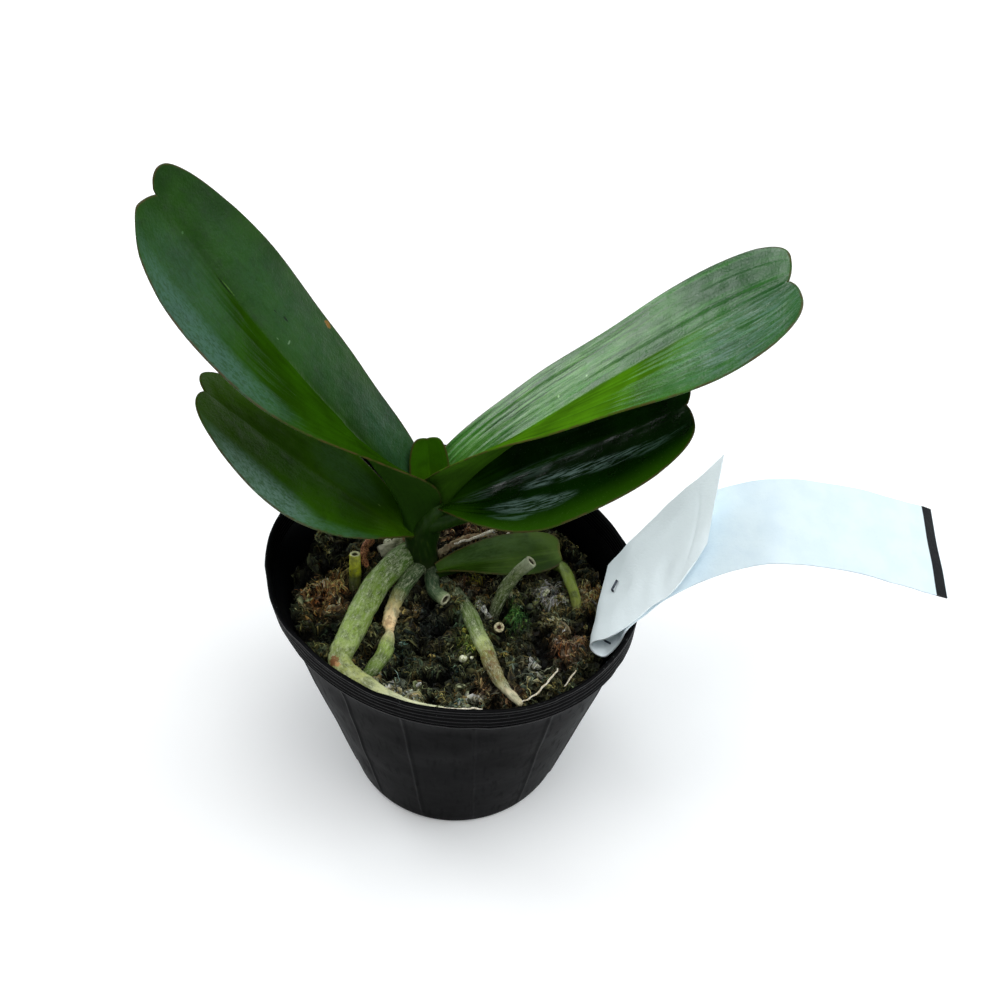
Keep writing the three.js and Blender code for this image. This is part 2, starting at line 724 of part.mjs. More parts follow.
// The space a leaf needs around it: blocks along and across the blade, each one grown by the gap.
function leafClearance(leaf) {
  const sections = leafSections(leaf);
  const step = 2;
  const both = [-GAP, GAP];
  const corners = both.flatMap((x) => both.flatMap((y) => both.map((z) => new THREE.Vector3(x, y, z))));
  const blocks = [];
  for (let row = 0; row < sections.length - 1; row += step) {
    const rows = sections.slice(row, row + step + 1);
    for (let column = 0; column < LEAF.columns.length - 1; column += step) {
      const spots = rows.flatMap(({ upper, lower }) => [
        ...upper.slice(column, column + step + 1),
        ...lower.slice(column, column + step + 1),
      ]);
      const grown = spots.flatMap((spot) => corners.map((corner) => spot.clone().add(corner).toArray()));
      blocks.push(wasm.Manifold.hull(grown));
    }
  }
  return wasm.Manifold.union(blocks);
}

// Label and staple

function labelGeometry() {
  const near = new THREE.CatmullRomCurve3(LABEL.map((pair) => point(pair[0])));
  const far = new THREE.CatmullRomCurve3(LABEL.map((pair) => point(pair[1])));
  const rings = [];
  for (let index = 0; index <= LABEL_STEPS; index += 1) {
    const share = index / LABEL_STEPS;
    const nearSpot = near.getPoint(share);
    const farSpot = far.getPoint(share);
    const along = near.getTangent(share).add(far.getTangent(share));
    const across = farSpot.clone().sub(nearSpot);
    const face = along.cross(across).normalize().multiplyScalar(LABEL_THICKNESS / 2);
    rings.push([
      nearSpot.clone().sub(face),
      farSpot.clone().sub(face),
      farSpot.clone().add(face),
      nearSpot.clone().add(face),
    ]);
  }
  return loft(rings);
}

function stapleGeometry(grow) {
  const bends = STAPLE.map((spot, index) => {
    const here = point(spot);
    if (index === 0 || index === STAPLE.length - 1) {
      return [here];
    }
    const before = point(STAPLE[index - 1]).sub(here).setLength(STAPLE_BEND).add(here);
    const after = point(STAPLE[index + 1]).sub(here).setLength(STAPLE_BEND).add(here);
    const inner = before.clone().lerp(after, 0.5);
    return [before, here.clone().lerp(inner, 0.5), after];
  }).flat();
  let normal = new THREE.Vector3(0, 0, 1);
  const rings = bends.map((spot, index) => {
    const before = bends[Math.max(index - 1, 0)];
    const after = bends[Math.min(index + 1, bends.length - 1)];
    const tangent = after.clone().sub(before).normalize();
    if (Math.abs(normal.dot(tangent)) > 0.95) {
      normal = new THREE.Vector3(1, 0, 0);
    }
    normal = normal.clone().addScaledVector(tangent, -normal.dot(tangent)).normalize();
    const binormal = tangent.clone().cross(normal);
    const end = index === 0 ? -grow : index === bends.length - 1 ? grow : 0;
    return Array.from({ length: STAPLE_SIDES }, (_, side) => {
      const angle = (side / STAPLE_SIDES) * Math.PI * 2;
      return spot
        .clone()
        .addScaledVector(tangent, end)
        .addScaledVector(normal, (STAPLE_RADIUS + grow) * Math.cos(angle))
        .addScaledVector(binormal, (STAPLE_RADIUS + grow) * Math.sin(angle));
    });
  });
  return loft(rings);
}

// Assembly: every later piece gives way to the ones before it, with a small gap.

const plant = new THREE.Group();

function addPiece(name, solid, colour, roughness, metalness = 0) {
  const material = new THREE.MeshStandardMaterial({ color: colour, roughness, metalness });
  const mesh = new THREE.Mesh(toGeometry(solid), material);
  mesh.name = name;
  plant.add(mesh);
}

const pot = makePot();
const stem = makeStem(0);
const stemClearance = makeStem(GAP);
addPiece('pot', pot, COLOURS.pot, 0.45);
addPiece('stem', stem, COLOURS.stem, 0.5);

const rootClearances = [];
for (const [name, root] of Object.entries(ROOTS)) {
  const solid = carve(toSolid(rootGeometry(root, 0)), [stemClearance, ...rootClearances]);
  rootClearances.push(toSolid(rootGeometry(root, GAP)));
  addPiece(name, solid, COLOURS.root, 0.75);
}

const moss = carve(toSolid(mossGeometry()), [stemClearance, ...rootClearances]);
addPiece('moss', moss, COLOURS.moss, 0.95);

const leafOrder = [
  'leaf_centre', 'leaf_upper_left', 'leaf_upper_right', 'leaf_lower_left', 'leaf_lower_right', 'leaf_basal',
];
const leafClearances = [];
for (const name of leafOrder) {
  const cutters = [stemClearance, ...leafClearances];
  if (name === 'leaf_basal') {
    cutters.push(...rootClearances);
  }
  const solid = carve(leafSolid(LEAVES[name]), cutters);
  leafClearances.push(leafClearance(LEAVES[name]));
  addPiece(name, solid, name === 'leaf_centre' ? COLOURS.youngLeaf : COLOURS.leaf, 0.35);
}

const staple = toSolid(stapleGeometry(0));
const label = carve(toSolid(labelGeometry()), [toSolid(potGeometry(GAP)), toSolid(stapleGeometry(GAP))]);
addPiece('label', label, COLOURS.paper, 0.85);
addPiece('staple', staple, COLOURS.wire, 0.35, 0.9);

export default plant;
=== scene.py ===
"""Looks of a young orchid in a soft nursery pot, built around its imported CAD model.

Lengths are in millimetres until mesh_object turns them into metres. Nearly all numbers of the pot, stem,
roots, leaves and label are the ones that the CAD model was made from, so each finer piece keeps the form
of its node.
"""

import math
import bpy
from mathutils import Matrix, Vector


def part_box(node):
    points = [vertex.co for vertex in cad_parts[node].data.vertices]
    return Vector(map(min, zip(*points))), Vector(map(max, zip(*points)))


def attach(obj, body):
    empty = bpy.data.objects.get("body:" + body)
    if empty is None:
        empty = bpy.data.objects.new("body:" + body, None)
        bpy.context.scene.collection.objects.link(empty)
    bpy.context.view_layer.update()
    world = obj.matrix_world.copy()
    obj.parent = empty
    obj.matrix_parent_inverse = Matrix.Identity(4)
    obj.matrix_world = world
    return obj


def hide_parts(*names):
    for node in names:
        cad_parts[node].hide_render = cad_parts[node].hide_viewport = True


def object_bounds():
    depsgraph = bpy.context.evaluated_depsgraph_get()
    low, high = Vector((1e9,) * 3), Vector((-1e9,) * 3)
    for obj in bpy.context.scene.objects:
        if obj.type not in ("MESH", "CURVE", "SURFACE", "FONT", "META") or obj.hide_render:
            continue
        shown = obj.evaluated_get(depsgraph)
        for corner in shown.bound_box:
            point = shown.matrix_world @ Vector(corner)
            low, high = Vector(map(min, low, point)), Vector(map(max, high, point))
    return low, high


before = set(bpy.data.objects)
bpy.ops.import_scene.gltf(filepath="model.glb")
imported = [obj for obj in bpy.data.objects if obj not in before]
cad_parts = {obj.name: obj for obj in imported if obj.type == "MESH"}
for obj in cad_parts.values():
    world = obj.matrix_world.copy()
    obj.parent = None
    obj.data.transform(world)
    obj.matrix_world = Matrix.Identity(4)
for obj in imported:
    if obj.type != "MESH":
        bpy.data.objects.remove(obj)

from types import SimpleNamespace as Sizes

import bmesh
import bpy
import numpy as np
from mathutils import Matrix, Vector

CAD_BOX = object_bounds()
MM = 0.001
FULL_TURN = 2 * math.pi

# Driving dimensions

POT = Sizes(
    height=77, base_radius=30, rim_long=49, rim_short=41, rim_turn=-25, wall=0.9, floor=1.2, band_height=8.5,
    band_step=1.4, band_taper=0.6, rim_waves=7, rim_wave_height=0.25, foot=1.4, ridges=4, ridge_start=0.8,
    ridge_relief=0.35, inner_ridges=6, inner_pitch=1.25, inner_relief=0.22, ribs=14, rib_start=-132.6,
    rib_relief=0.3, rib_width=0.55, drain_holes=5, drain_radius=3, drain_circle=19,
)
BAND_BOTTOM = POT.height - POT.band_height
MOSS = Sizes(
    edge_height=63.6, dome=3.6, dome_radius=24, lumps=110, lump_height=1.5, lump_radius=(2.2, 5),
    wall_clearance=0.45, shoulder=61, edge_drop=0.8, bed_margin=2.2, bed_depth=0.35, bed_steps=2, seed=4711,
)
# Where the root ball has drawn back from the wall: middle and width in degrees, and depth.
MOSS_VOIDS = ((-5, 24, 4.2), (45, 18, 2.4), (160, 22, 1.2))
LEAF = Sizes(
    core_at_foot=1.3, core_at_tip=1, keel=0.5, thinning=1.5, row_bow=1.6, line_steps=100, line_count=126,
)

LEAVES = {
    "leaf_upper_left": Sizes(
        foot=(-11.1, 10.4, 80.3), heading=186.1, swing=-29.2, rise=54.4, droop=-5.6, kick=38, kick_fade=0.175,
        length=112.3, half_width=18.7, foot_width=0.43, foot_lean=0.19, flare=0.87, shoulder=0.6,
        tip_width=0.255, roundness=1.63, roll_foot=-29, roll_tip=20.4, fold_foot=85, fold_tip=-2.9,
        fold_fade=0.3, lobe_left=0.012, lobe_right=0.043, lean=-0.034,
    ),
    "leaf_upper_right": Sizes(
        foot=(-2, 13.1, 85.8), heading=6.6, swing=-9.2, rise=39.3, droop=-0.2, kick=32, kick_fade=0.137,
        length=107.4, half_width=18.4, foot_width=0.55, foot_lean=0, flare=1.2, shoulder=0.8, tip_width=0.37,
        roundness=1.94, roll_foot=28, roll_tip=-4.7, fold_foot=64, fold_tip=-3.8, fold_fade=0.349,
        lobe_left=0.019, lobe_right=0.028, lean=0.035,
    ),
    "leaf_lower_left": Sizes(
        foot=(-9.8, 9.2, 78.9), heading=177.6, swing=-8.7, rise=43.2, droop=-3.4, kick=3, kick_fade=0.1,
        length=66.5, half_width=16.1, foot_width=0.05, foot_lean=0, flare=0.92, shoulder=0.6, tip_width=0.265,
        roundness=1.89, roll_foot=13.1, roll_tip=-13.2, fold_foot=53, fold_tip=-2.3, fold_fade=0.155,
        lobe_left=0.032, lobe_right=0.042, lean=-0.062,
    ),
    "leaf_lower_right": Sizes(
        foot=(-1.7, 12.2, 87.4), heading=-0.4, swing=2.6, rise=32, droop=0.9, kick=4, kick_fade=0.1,
        length=67.9, half_width=19.2, foot_width=0.18, foot_lean=0, flare=0.9, shoulder=0.49, tip_width=0.37,
        roundness=2.07, roll_foot=-12.1, roll_tip=-4, fold_foot=55, fold_tip=3.6, fold_fade=0.129,
        lobe_left=0.037, lobe_right=0.027, lean=0.036,
    ),
    "leaf_centre": Sizes(
        foot=(-4.9, 14.5, 86), heading=96.5, swing=0.5, rise=75.5, droop=3.5, kick=3, kick_fade=0.1,
        length=19, half_width=5.3, foot_width=0.3, foot_lean=0, flare=1, shoulder=0.48, tip_width=0.42,
        roundness=2.14, roll_foot=1.6, roll_tip=-0.7, fold_foot=52, fold_tip=15, fold_fade=0.25,
        lobe_left=0.028, lobe_right=0.024, lean=0,
    ),
    "leaf_basal": Sizes(
        foot=(-3.6, 5.6, 68.2), heading=12.4, swing=-0.9, rise=4, droop=7.2, kick=13.5, kick_fade=0.1,
        length=32.6, half_width=7.1, foot_width=0.37, foot_lean=0, flare=1, shoulder=0.61, tip_width=0.37,
        roundness=2.06, roll_foot=11.6, roll_tip=-8.4, fold_foot=50, fold_tip=6.3, fold_fade=0.337,
        lobe_left=0.012, lobe_right=0.002, lean=0.037,
    ),
}

# The stem from the root crown up to the fork, as centre and half widths in X and Y, and the sheath under the
# lower right leaf, as centre and half widths in Y and Z.
STEM = (
    (-6.6, 8.6, 57.5, 3, 3), (-6.8, 8.8, 61, 4, 3.9), (-7.2, 9.2, 65.5, 4.7, 4.5),
    (-7.8, 9.8, 68, 4.4, 4.2), (-8, 10.5, 71, 4.3, 4.2), (-7.8, 11.3, 75, 4.4, 4.1),
    (-7, 12.1, 79, 4.4, 3.8), (-5.4, 12.6, 83, 4.1, 3.5), (-3.9, 12.8, 86.5, 3, 2.8),
    (-2.9, 12.8, 89.5, 1.5, 1.5),
)
SHEATH = (
    (-5.5, 11.2, 81, 2.4, 3.2), (-1.6, 10.6, 83.4, 2.1, 2.8), (2, 10.4, 84.9, 1.5, 2.5),
    (5.2, 10.2, 85.9, 0.9, 2), (7.4, 10, 86.9, 0.4, 0.7),
)

# Points on the route of each root: X, Y, Z and radius.
ROOTS = {
    "root_thick": (
        (-9, 10, 69.5, 2.6), (-11.7, 9.2, 70.8, 3.3), (-16.6, 3.2, 71, 3.4), (-20.8, -4.3, 70.8, 3.4),
        (-23.2, -11.1, 70.5, 3.3), (-25.7, -17.8, 70, 3.2), (-27, -23.1, 69.5, 3), (-23.9, -26.8, 68.8, 2.8),
        (-20.6, -28.9, 68.4, 2.5), (-14.8, -32.1, 68.2, 2), (-8.4, -34.2, 68.4, 1.8), (0.5, -35.2, 68.6, 1.4),
        (5.5, -34.8, 68, 0.9),
    ),
    "root_pinched": (
        (-8, 7, 68.4, 1.8), (-9.5, 5.2, 69.4, 2.1), (-12.2, 0.3, 69.5, 2.1), (-14.3, -5.1, 69.4, 1.9),
        (-15.4, -11, 69, 1.7), (-15.2, -13.8, 69, 1.1), (-15.5, -16.4, 69, 1.8), (-16.4, -20.2, 68.6, 2),
        (-18.6, -23.2, 67.6, 1.8), (-21.2, -25.2, 65.6, 1.4),
    ),
    "root_front": (
        (-4.2, 7.4, 64.2, 1.8), (-0.6, 3.4, 64.6, 1.9), (3.6, -4.2, 66.6, 2), (7.2, -14, 67.8, 2.1),
        (9.3, -19.1, 68, 2), (11, -24.5, 67.8, 1.8), (13.5, -29.1, 67.5, 1.4), (17.4, -33.4, 66.8, 0.9),
    ),
    "root_stub_hollow": (
        (10.8, -3.8, 62.4, 1.5), (12, -2.6, 66, 1.6), (14.4, 0.2, 70, 1.7), (17.1, 1.2, 74, 1.6),
        (20.3, 2, 77.4, 1.6),
    ),
    "root_right": (
        (21.5, 12, 62.8, 1.2), (25.7, 9.8, 66.2, 1.4), (28.9, 7.1, 68.1, 1.5), (30.5, 2.6, 68.4, 1.5),
        (31.7, -0.8, 67, 1.4), (32.4, -3, 63.4, 1.2),
    ),
    "root_stub_centre": (
        (-5.4, 7, 67, 1.9), (-5.2, 3.4, 68.2, 2), (-4.3, -1, 68.9, 1.9), (-1.6, -3.8, 69.4, 1.8),
    ),
    "root_stub_upright": (
        (-25.3, 2.5, 61, 1.4), (-25.2, 4.4, 66.5, 1.6), (-25, 5.9, 71, 1.5), (-24.9, 6.9, 74, 1.4),
    ),
    "root_back_left": (
        (-9.4, 13, 68.4, 1.6), (-12.6, 14.2, 69.2, 1.9), (-15.4, 13.4, 69.2, 1.8), (-18.8, 11.8, 68.8, 1.7),
    ),
    "root_back_right": (
        (-3.4, 12.2, 67.4, 1.1), (0.5, 15.2, 67.8, 1.1), (5.6, 17.9, 67.6, 0.9), (11.5, 19.4, 66.4, 0.7),
    ),
}
BEDDED = ("root_thick", "root_pinched", "root_front", "root_stub_centre", "root_back_left", "root_back_right")
CUT = ("root_stub_hollow", "root_stub_centre", "root_stub_upright", "root_back_left")
# Rings pressed into a root: share of its length, width and depth. Wrinkled parts: from, to and depth.
CREASES = {
    "root_thick": ((0.472, 0.005, 0.17), (0.56, 0.008, 0.05)),
    "root_pinched": ((0.545, 0.012, 0.12), (0.41, 0.01, 0.08)),
    "root_front": ((0.7, 0.01, 0.08), (0.9, 0.01, 0.1), (0.57, 0.012, 0.06)),
    "root_right": ((0.55, 0.012, 0.05), (0.72, 0.012, 0.05)),
}
WRINKLED = {
    "root_pinched": (0.32, 0.6, 0.06), "root_front": (0.55, 1.0, 0.05), "root_back_left": (0.0, 1.0, 0.12),
    "root_back_right": (0.0, 1.0, 0.16),
}

# Points along the two edges of the label.
LABEL = (
    ((62.9, -3.9, 92.5), (68.3, 18.4, 99.8)), ((59.5, -8.8, 90.5), (63.6, 15.4, 96.2)),
    ((54.2, -13.9, 86), (57.2, 12, 91.4)), ((49.6, -15.9, 83.2), (52.2, 9.2, 87.6)),
    ((44.4, -18.9, 79.8), (46.8, 6, 83)), ((39.1, -20.7, 76.4), (43.2, 4.4, 78.2)),
    ((35.6, -19.8, 73.6), (40.8, 3.9, 74.8)), ((34.7, -19.7, 71.6), (40.1, 3.9, 73.2)),
    ((35.8, -20.6, 69.8), (40.6, 4.1, 71.8)), ((38.2, -21.5, 69.4), (42, 4.3, 72.2)),
    ((41.2, -20.6, 73), (43.5, 4.5, 75)), ((43.4, -19.4, 78), (45, 4.9, 78.4)),
    ((47.8, -16.4, 79.9), (48.6, 7.6, 81.6)), ((53.3, -12.9, 82), (55, 11.8, 85.6)),
    ((63.1, -10.6, 87), (65.6, 14.4, 90.2)), ((73.1, -9.1, 90), (75.8, 15.9, 92.4)),
    ((82.8, -8.8, 90.5), (85.6, 16.4, 92.6)), ((97.2, -8.2, 87), (100.8, 16.6, 89.4)),
    ((110.2, -7.8, 81.5), (113.2, 17, 84.6)), ((125.7, -5.8, 72.5), (124.4, 18.6, 78)),
)
LABEL_THICKNESS = 0.4
LABEL_WIDTH = 25
STAPLE = (
    (41.8, -4.4, 78.2), (40.4, -6.8, 77.2), (43.9, -6.8, 73.9), (40.9, -18.9, 70.6), (38.4, -18.6, 72.2),
    (37.6, -16.4, 71.8),
)
STAPLE_RADIUS = 0.3
STAPLE_BEND = 0.5

# Small tools for numbers and curves

def mix(low, high, share):
    return low + (high - low) * share


def unit(vectors):
    return vectors / np.linalg.norm(vectors, axis=-1, keepdims=True)


def step(low, high, value):
    """0 below low, 1 above high and smooth between them."""
    share = np.clip((value - low) / (high - low), 0, 1)
    return share * share * (3 - 2 * share)


def turns(count):
    """Angles all the way round, in equal steps."""
    return np.linspace(0, FULL_TURN, count, endpoint=False)


def seeded_random(seed):
    """The same row of numbers between 0 and 1 that the CAD source draws from its seed."""
    whole = 0xFFFFFFFF
    state = seed

    def draw():
        nonlocal state
        state = (state + 0x6D2B79F5) & whole
        value = ((state ^ (state >> 15)) * (1 | state)) & whole
        value = ((value + (((value ^ (value >> 7)) * (61 | value)) & whole)) ^ value) & whole
        return (value ^ (value >> 14)) / (whole + 1)

    return draw


def waves(seed, size, count=20):
    """Soft noise in space with features of about the size given: mostly between -1 and 1."""
    rng = np.random.default_rng(seed)
    runs = unit(rng.normal(size=(count, 3))) * rng.uniform(0.6, 1.7, (count, 1)) * (FULL_TURN / size)
    phases = rng.uniform(0, FULL_TURN, count)
    return lambda spots: np.sin(np.asarray(spots) @ runs.T + phases).sum(axis=-1) / math.sqrt(count)


def curve_at(points, shares):
    """Places on a smooth curve through points. Columns after the third are carried along."""
    points = np.asarray(points, float)
    padded = np.vstack([2 * points[0] - points[1], points, 2 * points[-1] - points[-2]])
    place = np.clip(np.asarray(shares, float), 0, 1) * (len(points) - 1)
    index = np.minimum(place.astype(int), len(points) - 2)
    part = (place - index)[:, None]
    a, b, c, d = (padded[index + shift] for shift in range(4))
    ab, bc, cd = (
        (np.sum((first[:, :3] - second[:, :3]) ** 2, axis=1) ** 0.25)[:, None]
        for first, second in ((a, b), (b, c), (c, d))
    )
    start = ((b - a) / ab - (c - a) / (ab + bc) + (c - b) / bc) * bc
    finish = ((c - b) / bc - (d - b) / (bc + cd) + (d - c) / cd) * bc
    bend = 3 * (c - b) - 2 * start - finish
    return b + start * part + bend * part ** 2 + (2 * (b - c) + start + finish) * part ** 3


def frames_along(path):
    """The tangent at each point of a path and two directions across it, turning as little as they can."""
    tangents = unit(np.gradient(path, axis=0))
    normal = np.array([0.0, 0.0, 1.0])
    normals = []
    for tangent in tangents:
        if abs(normal @ tangent) > 0.95:
            normal = np.array([1.0, 0.0, 0.0])
        normal = unit(normal - tangent * (normal @ tangent))
        normals.append(normal)
    return tangents, np.array(normals), np.cross(tangents, normals)


def tube(path, radius, sides, first=1.0, second=1.0):
    """Rings of points round a path, with shares of the radius along the two directions across it."""
    _, normals, binormals = frames_along(path)
    turn = turns(sides)[:, None]
    spokes = np.cos(turn) * normals[:, None] * first + np.sin(turn) * binormals[:, None] * second
    return path[:, None] + np.reshape(radius, (-1, 1, 1)) * spokes


def round_axis(radius, angles, z):
    """A ring of points round the pot's axis."""
    height = np.broadcast_to(z, radius.shape)
    return np.stack([radius * np.cos(angles), radius * np.sin(angles), height], axis=-1)


# Meshes

def grid_faces(rows, columns, closed=True):
    """Quads between rows of points. Closed rows join their last point to their first."""
    row = np.arange(rows - 1)[:, None] * columns
    column = np.arange(columns if closed else columns - 1)
    after = (column + 1) % columns
    corners = (row + column, row + after, row + columns + after, row + columns + column)
    return np.stack(corners, axis=-1).reshape(-1, 4).tolist()


def sweep(rings):
    """Points and faces of a closed body through rings of points, with a flat face at each end."""
    rows, columns = rings.shape[:2]
    ends = [list(range(columns))[::-1], list(range((rows - 1) * columns, rows * columns))]
    return rings.reshape(-1, 3), grid_faces(rows, columns) + ends


def joined(shells):
    """Several lots of points and faces as one."""
    spots, faces = [], []
    for shell_spots, shell_faces in shells:
        faces += [[corner + len(spots) for corner in face] for face in shell_faces]
        spots += shell_spots.tolist()
    return spots, faces


def repeated(faces, size, count):
    """The faces of one body for each of count bodies that have size points and lie one after another."""
    return [[corner + start for corner in face] for start in range(0, size * count, size) for face in faces]


def ball(subdivisions):
    """Points and faces of a ball of radius 1, from one of twenty faces."""
    body = bmesh.new()
    bmesh.ops.create_icosphere(body, subdivisions=subdivisions, radius=1.0)
    spots = np.array([vertex.co[:] for vertex in body.verts])
    faces = [[vertex.index for vertex in face.verts] for face in body.faces]
    body.free()
    return spots, faces


def mesh_object(name, spots, faces, sharp=None, tint=None, **values):
    """An object from points in millimetres, with named values on its points for the materials."""
    mesh = bpy.data.meshes.new(name)
    mesh.from_pydata((np.asarray(spots, float) * MM).tolist(), [], faces)
    if tint is not None:
        values["tint"] = np.hstack([tint, np.ones((len(tint), 1))])
    kinds = {1: ("FLOAT", "value"), 3: ("FLOAT_VECTOR", "vector"), 4: ("FLOAT_COLOR", "color")}
    for key, numbers in values.items():
        numbers = np.asarray(numbers, np.float32)
        kind, field = kinds[1 if numbers.ndim == 1 else numbers.shape[1]]
        mesh.attributes.new(key, kind, "POINT").data.foreach_set(field, numbers.ravel())
    mesh.shade_smooth()
    if sharp is not None:
        mesh.set_sharp_from_angle(angle=math.radians(sharp))
    mesh.validate()
    return linked(name, mesh)


def linked(name, data):
    """A new object in the scene."""
    piece = bpy.data.objects.new(name, data)
    bpy.context.scene.collection.objects.link(piece)
    return piece


def present(piece, slot, finish, *nodes):
    """Gives a piece its material and its place among the CAD parts."""
    piece.data.materials.clear()
    piece.data.materials.append(finish)
    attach(piece, "root")
    if nodes:
        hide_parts(*nodes)


# Materials

def colour(red, green, blue):
    """A linear colour from the 0 to 255 values that a picture shows."""
    shares = [value / 255 for value in (red, green, blue)]
    linear = [share / 12.92 if share <= 0.04045 else ((share + 0.055) / 1.055) ** 2.4 for share in shares]
    return (*linear, 1.0)


class Signal:
    """What a socket of a node gives. A sum or product of signals and numbers is a node of its own."""

    def __init__(self, nodes, socket):
        self.nodes = nodes
        self.socket = socket

    def math(self, kind, other=0.0):
        return self.nodes.add("Math", {0: self, 1: other}, operation=kind)

    def __add__(self, other):
        return self.math("ADD", other)

    def __sub__(self, other):
        return self.math("SUBTRACT", other)

    def __mul__(self, other):
        return self.math("MULTIPLY", other)

    def __truediv__(self, other):
        return self.math("DIVIDE", other)

    def ramp(self, low, high, to_low=0.0, to_high=1.0):
        """The signal turned smoothly from one range into another, and held at the ends of it."""
        values = {"Value": self, "From Min": low, "From Max": high, "To Min": to_low, "To Max": to_high}
        return self.nodes.add("MapRange", values, interpolation_type="SMOOTHSTEP")


class Nodes:
    """The nodes of a material or of the world, put together with short calls.

    A colour is a signal, or three values from 0 to 255.
    """

    def __init__(self, tree):
        self.tree = tree

    def add(self, kind, values, output=0, **settings):
        node = self.tree.nodes.new("ShaderNode" + kind)
        for key, value in settings.items():
            setattr(node, key, value)
        for socket, value in values.items():
            if isinstance(value, Signal):
                self.tree.links.new(value.socket, node.inputs[socket])
            else:
                node.inputs[socket].default_value = value
        return Signal(self, node.outputs[output])

    def mixed(self, under, over, share):
        """One colour over another."""
        under, over = (shade if isinstance(shade, Signal) else colour(*shade) for shade in (under, over))
        return self.add("Mix", {0: share, 6: under, 7: over}, 2, data_type="RGBA")

    def stops(self, value, places, easing="LINEAR"):
        """Linear colours along a value, as pairs of place and colour."""
        node = self.tree.nodes.new("ShaderNodeValToRGB")
        node.color_ramp.interpolation = easing
        elements = node.color_ramp.elements
        for index, (place, shade) in enumerate(places):
            element = elements[index] if index < 2 else elements.new(place)
            element.position = place
            element.color = shade
        self.tree.links.new(value.socket, node.inputs[0])
        return Signal(self, node.outputs[0])


class Finish(Nodes):
    """A node material whose colour is built up in coats. Its sizes are in millimetres."""

    def __init__(self, name, **sockets):
        self.material = bpy.data.materials.new(name)
        self.material.use_nodes = True
        super().__init__(self.material.node_tree)
        self.shader = self.tree.nodes["Principled BSDF"]
        for key, value in sockets.items():
            self.shader.inputs[key.replace("_", " ")].default_value = value
        metres = self.add("TexCoord", {}, "Object")
        self.place = self.add("VectorMath", {0: metres, "Scale": 1 / MM}, operation="SCALE")

    def height(self):
        return self.add("SeparateXYZ", {0: self.place}, 2)

    def upright(self, squeeze):
        """The place squeezed in height, for marks that run up and down."""
        return self.add("VectorMath", {0: self.place, 1: (1, 1, squeeze)}, operation="MULTIPLY")

    def vector(self, *numbers):
        return self.add("CombineXYZ", dict(enumerate(numbers)))

    def named(self, name, output="Fac"):
        """A value from the mesh."""
        return self.add("Attribute", {}, output, attribute_name=name)

    def parts(self, name):
        """The three numbers of a named vector on the mesh."""
        vector = self.named(name, "Vector")
        return [self.add("SeparateXYZ", {0: vector}, index) for index in range(3)]

    def noise(self, size, detail=2.0, vector=None, rough=0.5, warp=0.0):
        values = {"Vector": vector or self.place, "Scale": 1 / size, "Detail": detail}
        return self.add("TexNoise", {**values, "Roughness": rough, "Distortion": warp})

    def blend(self, low, high, share):
        return self.add("Mix", {0: share, 2: low, 3: high}, data_type="FLOAT")

    def base(self, low, high, share):
        """The first colour, between two."""
        self.shade = self.mixed(low, high, share)

    def coat(self, shade, share):
        """Another colour over what is there."""
        self.shade = self.mixed(self.shade, shade, share)

    def join(self, signal, socket):
        self.tree.links.new(signal.socket, self.shader.inputs[socket])

    def finish(self, rough, heights=(), level=None):
        """Joins the colour, the roughness and the bumps, each a height from 0 to 1 and its depth."""
        self.join(self.shade, "Base Color")
        self.join(rough, "Roughness")
        if level is not None:
            self.join(level, "Specular IOR Level")
        bumps = {}
        for height, depth in heights:
            bumps["Normal"] = self.add("Bump", {**bumps, "Height": height, "Distance": depth * MM})
        if bumps:
            self.join(bumps["Normal"], "Normal")
        return self.material


# Pot

def oval_radius(angle, inset):
    """Radius of the squeezed rim, drawn in by an inset."""
    local = angle - math.radians(POT.rim_turn)
    long, short = POT.rim_long - inset, POT.rim_short - inset
    return (long * short) / np.hypot(short * np.cos(local), long * np.sin(local))


def body_radius(angle, z):
    return mix(POT.base_radius, oval_radius(angle, POT.band_taper + POT.band_step), z / BAND_BOTTOM)


def band_radius(angle, z):
    below = (POT.height - z) / POT.band_height
    wave = POT.rim_wave_height * np.cos(POT.rim_waves * angle + 1) * (1 - below)
    return oval_radius(angle, POT.band_taper * below) + wave


def ridge_line(z, start, pitch, count, relief):
    """Depth of a row of round ridges at a height."""
    place = (z - start) / pitch
    return -relief * (0.5 + 0.5 * np.cos(FULL_TURN * place)) if 0 < place < count else 0


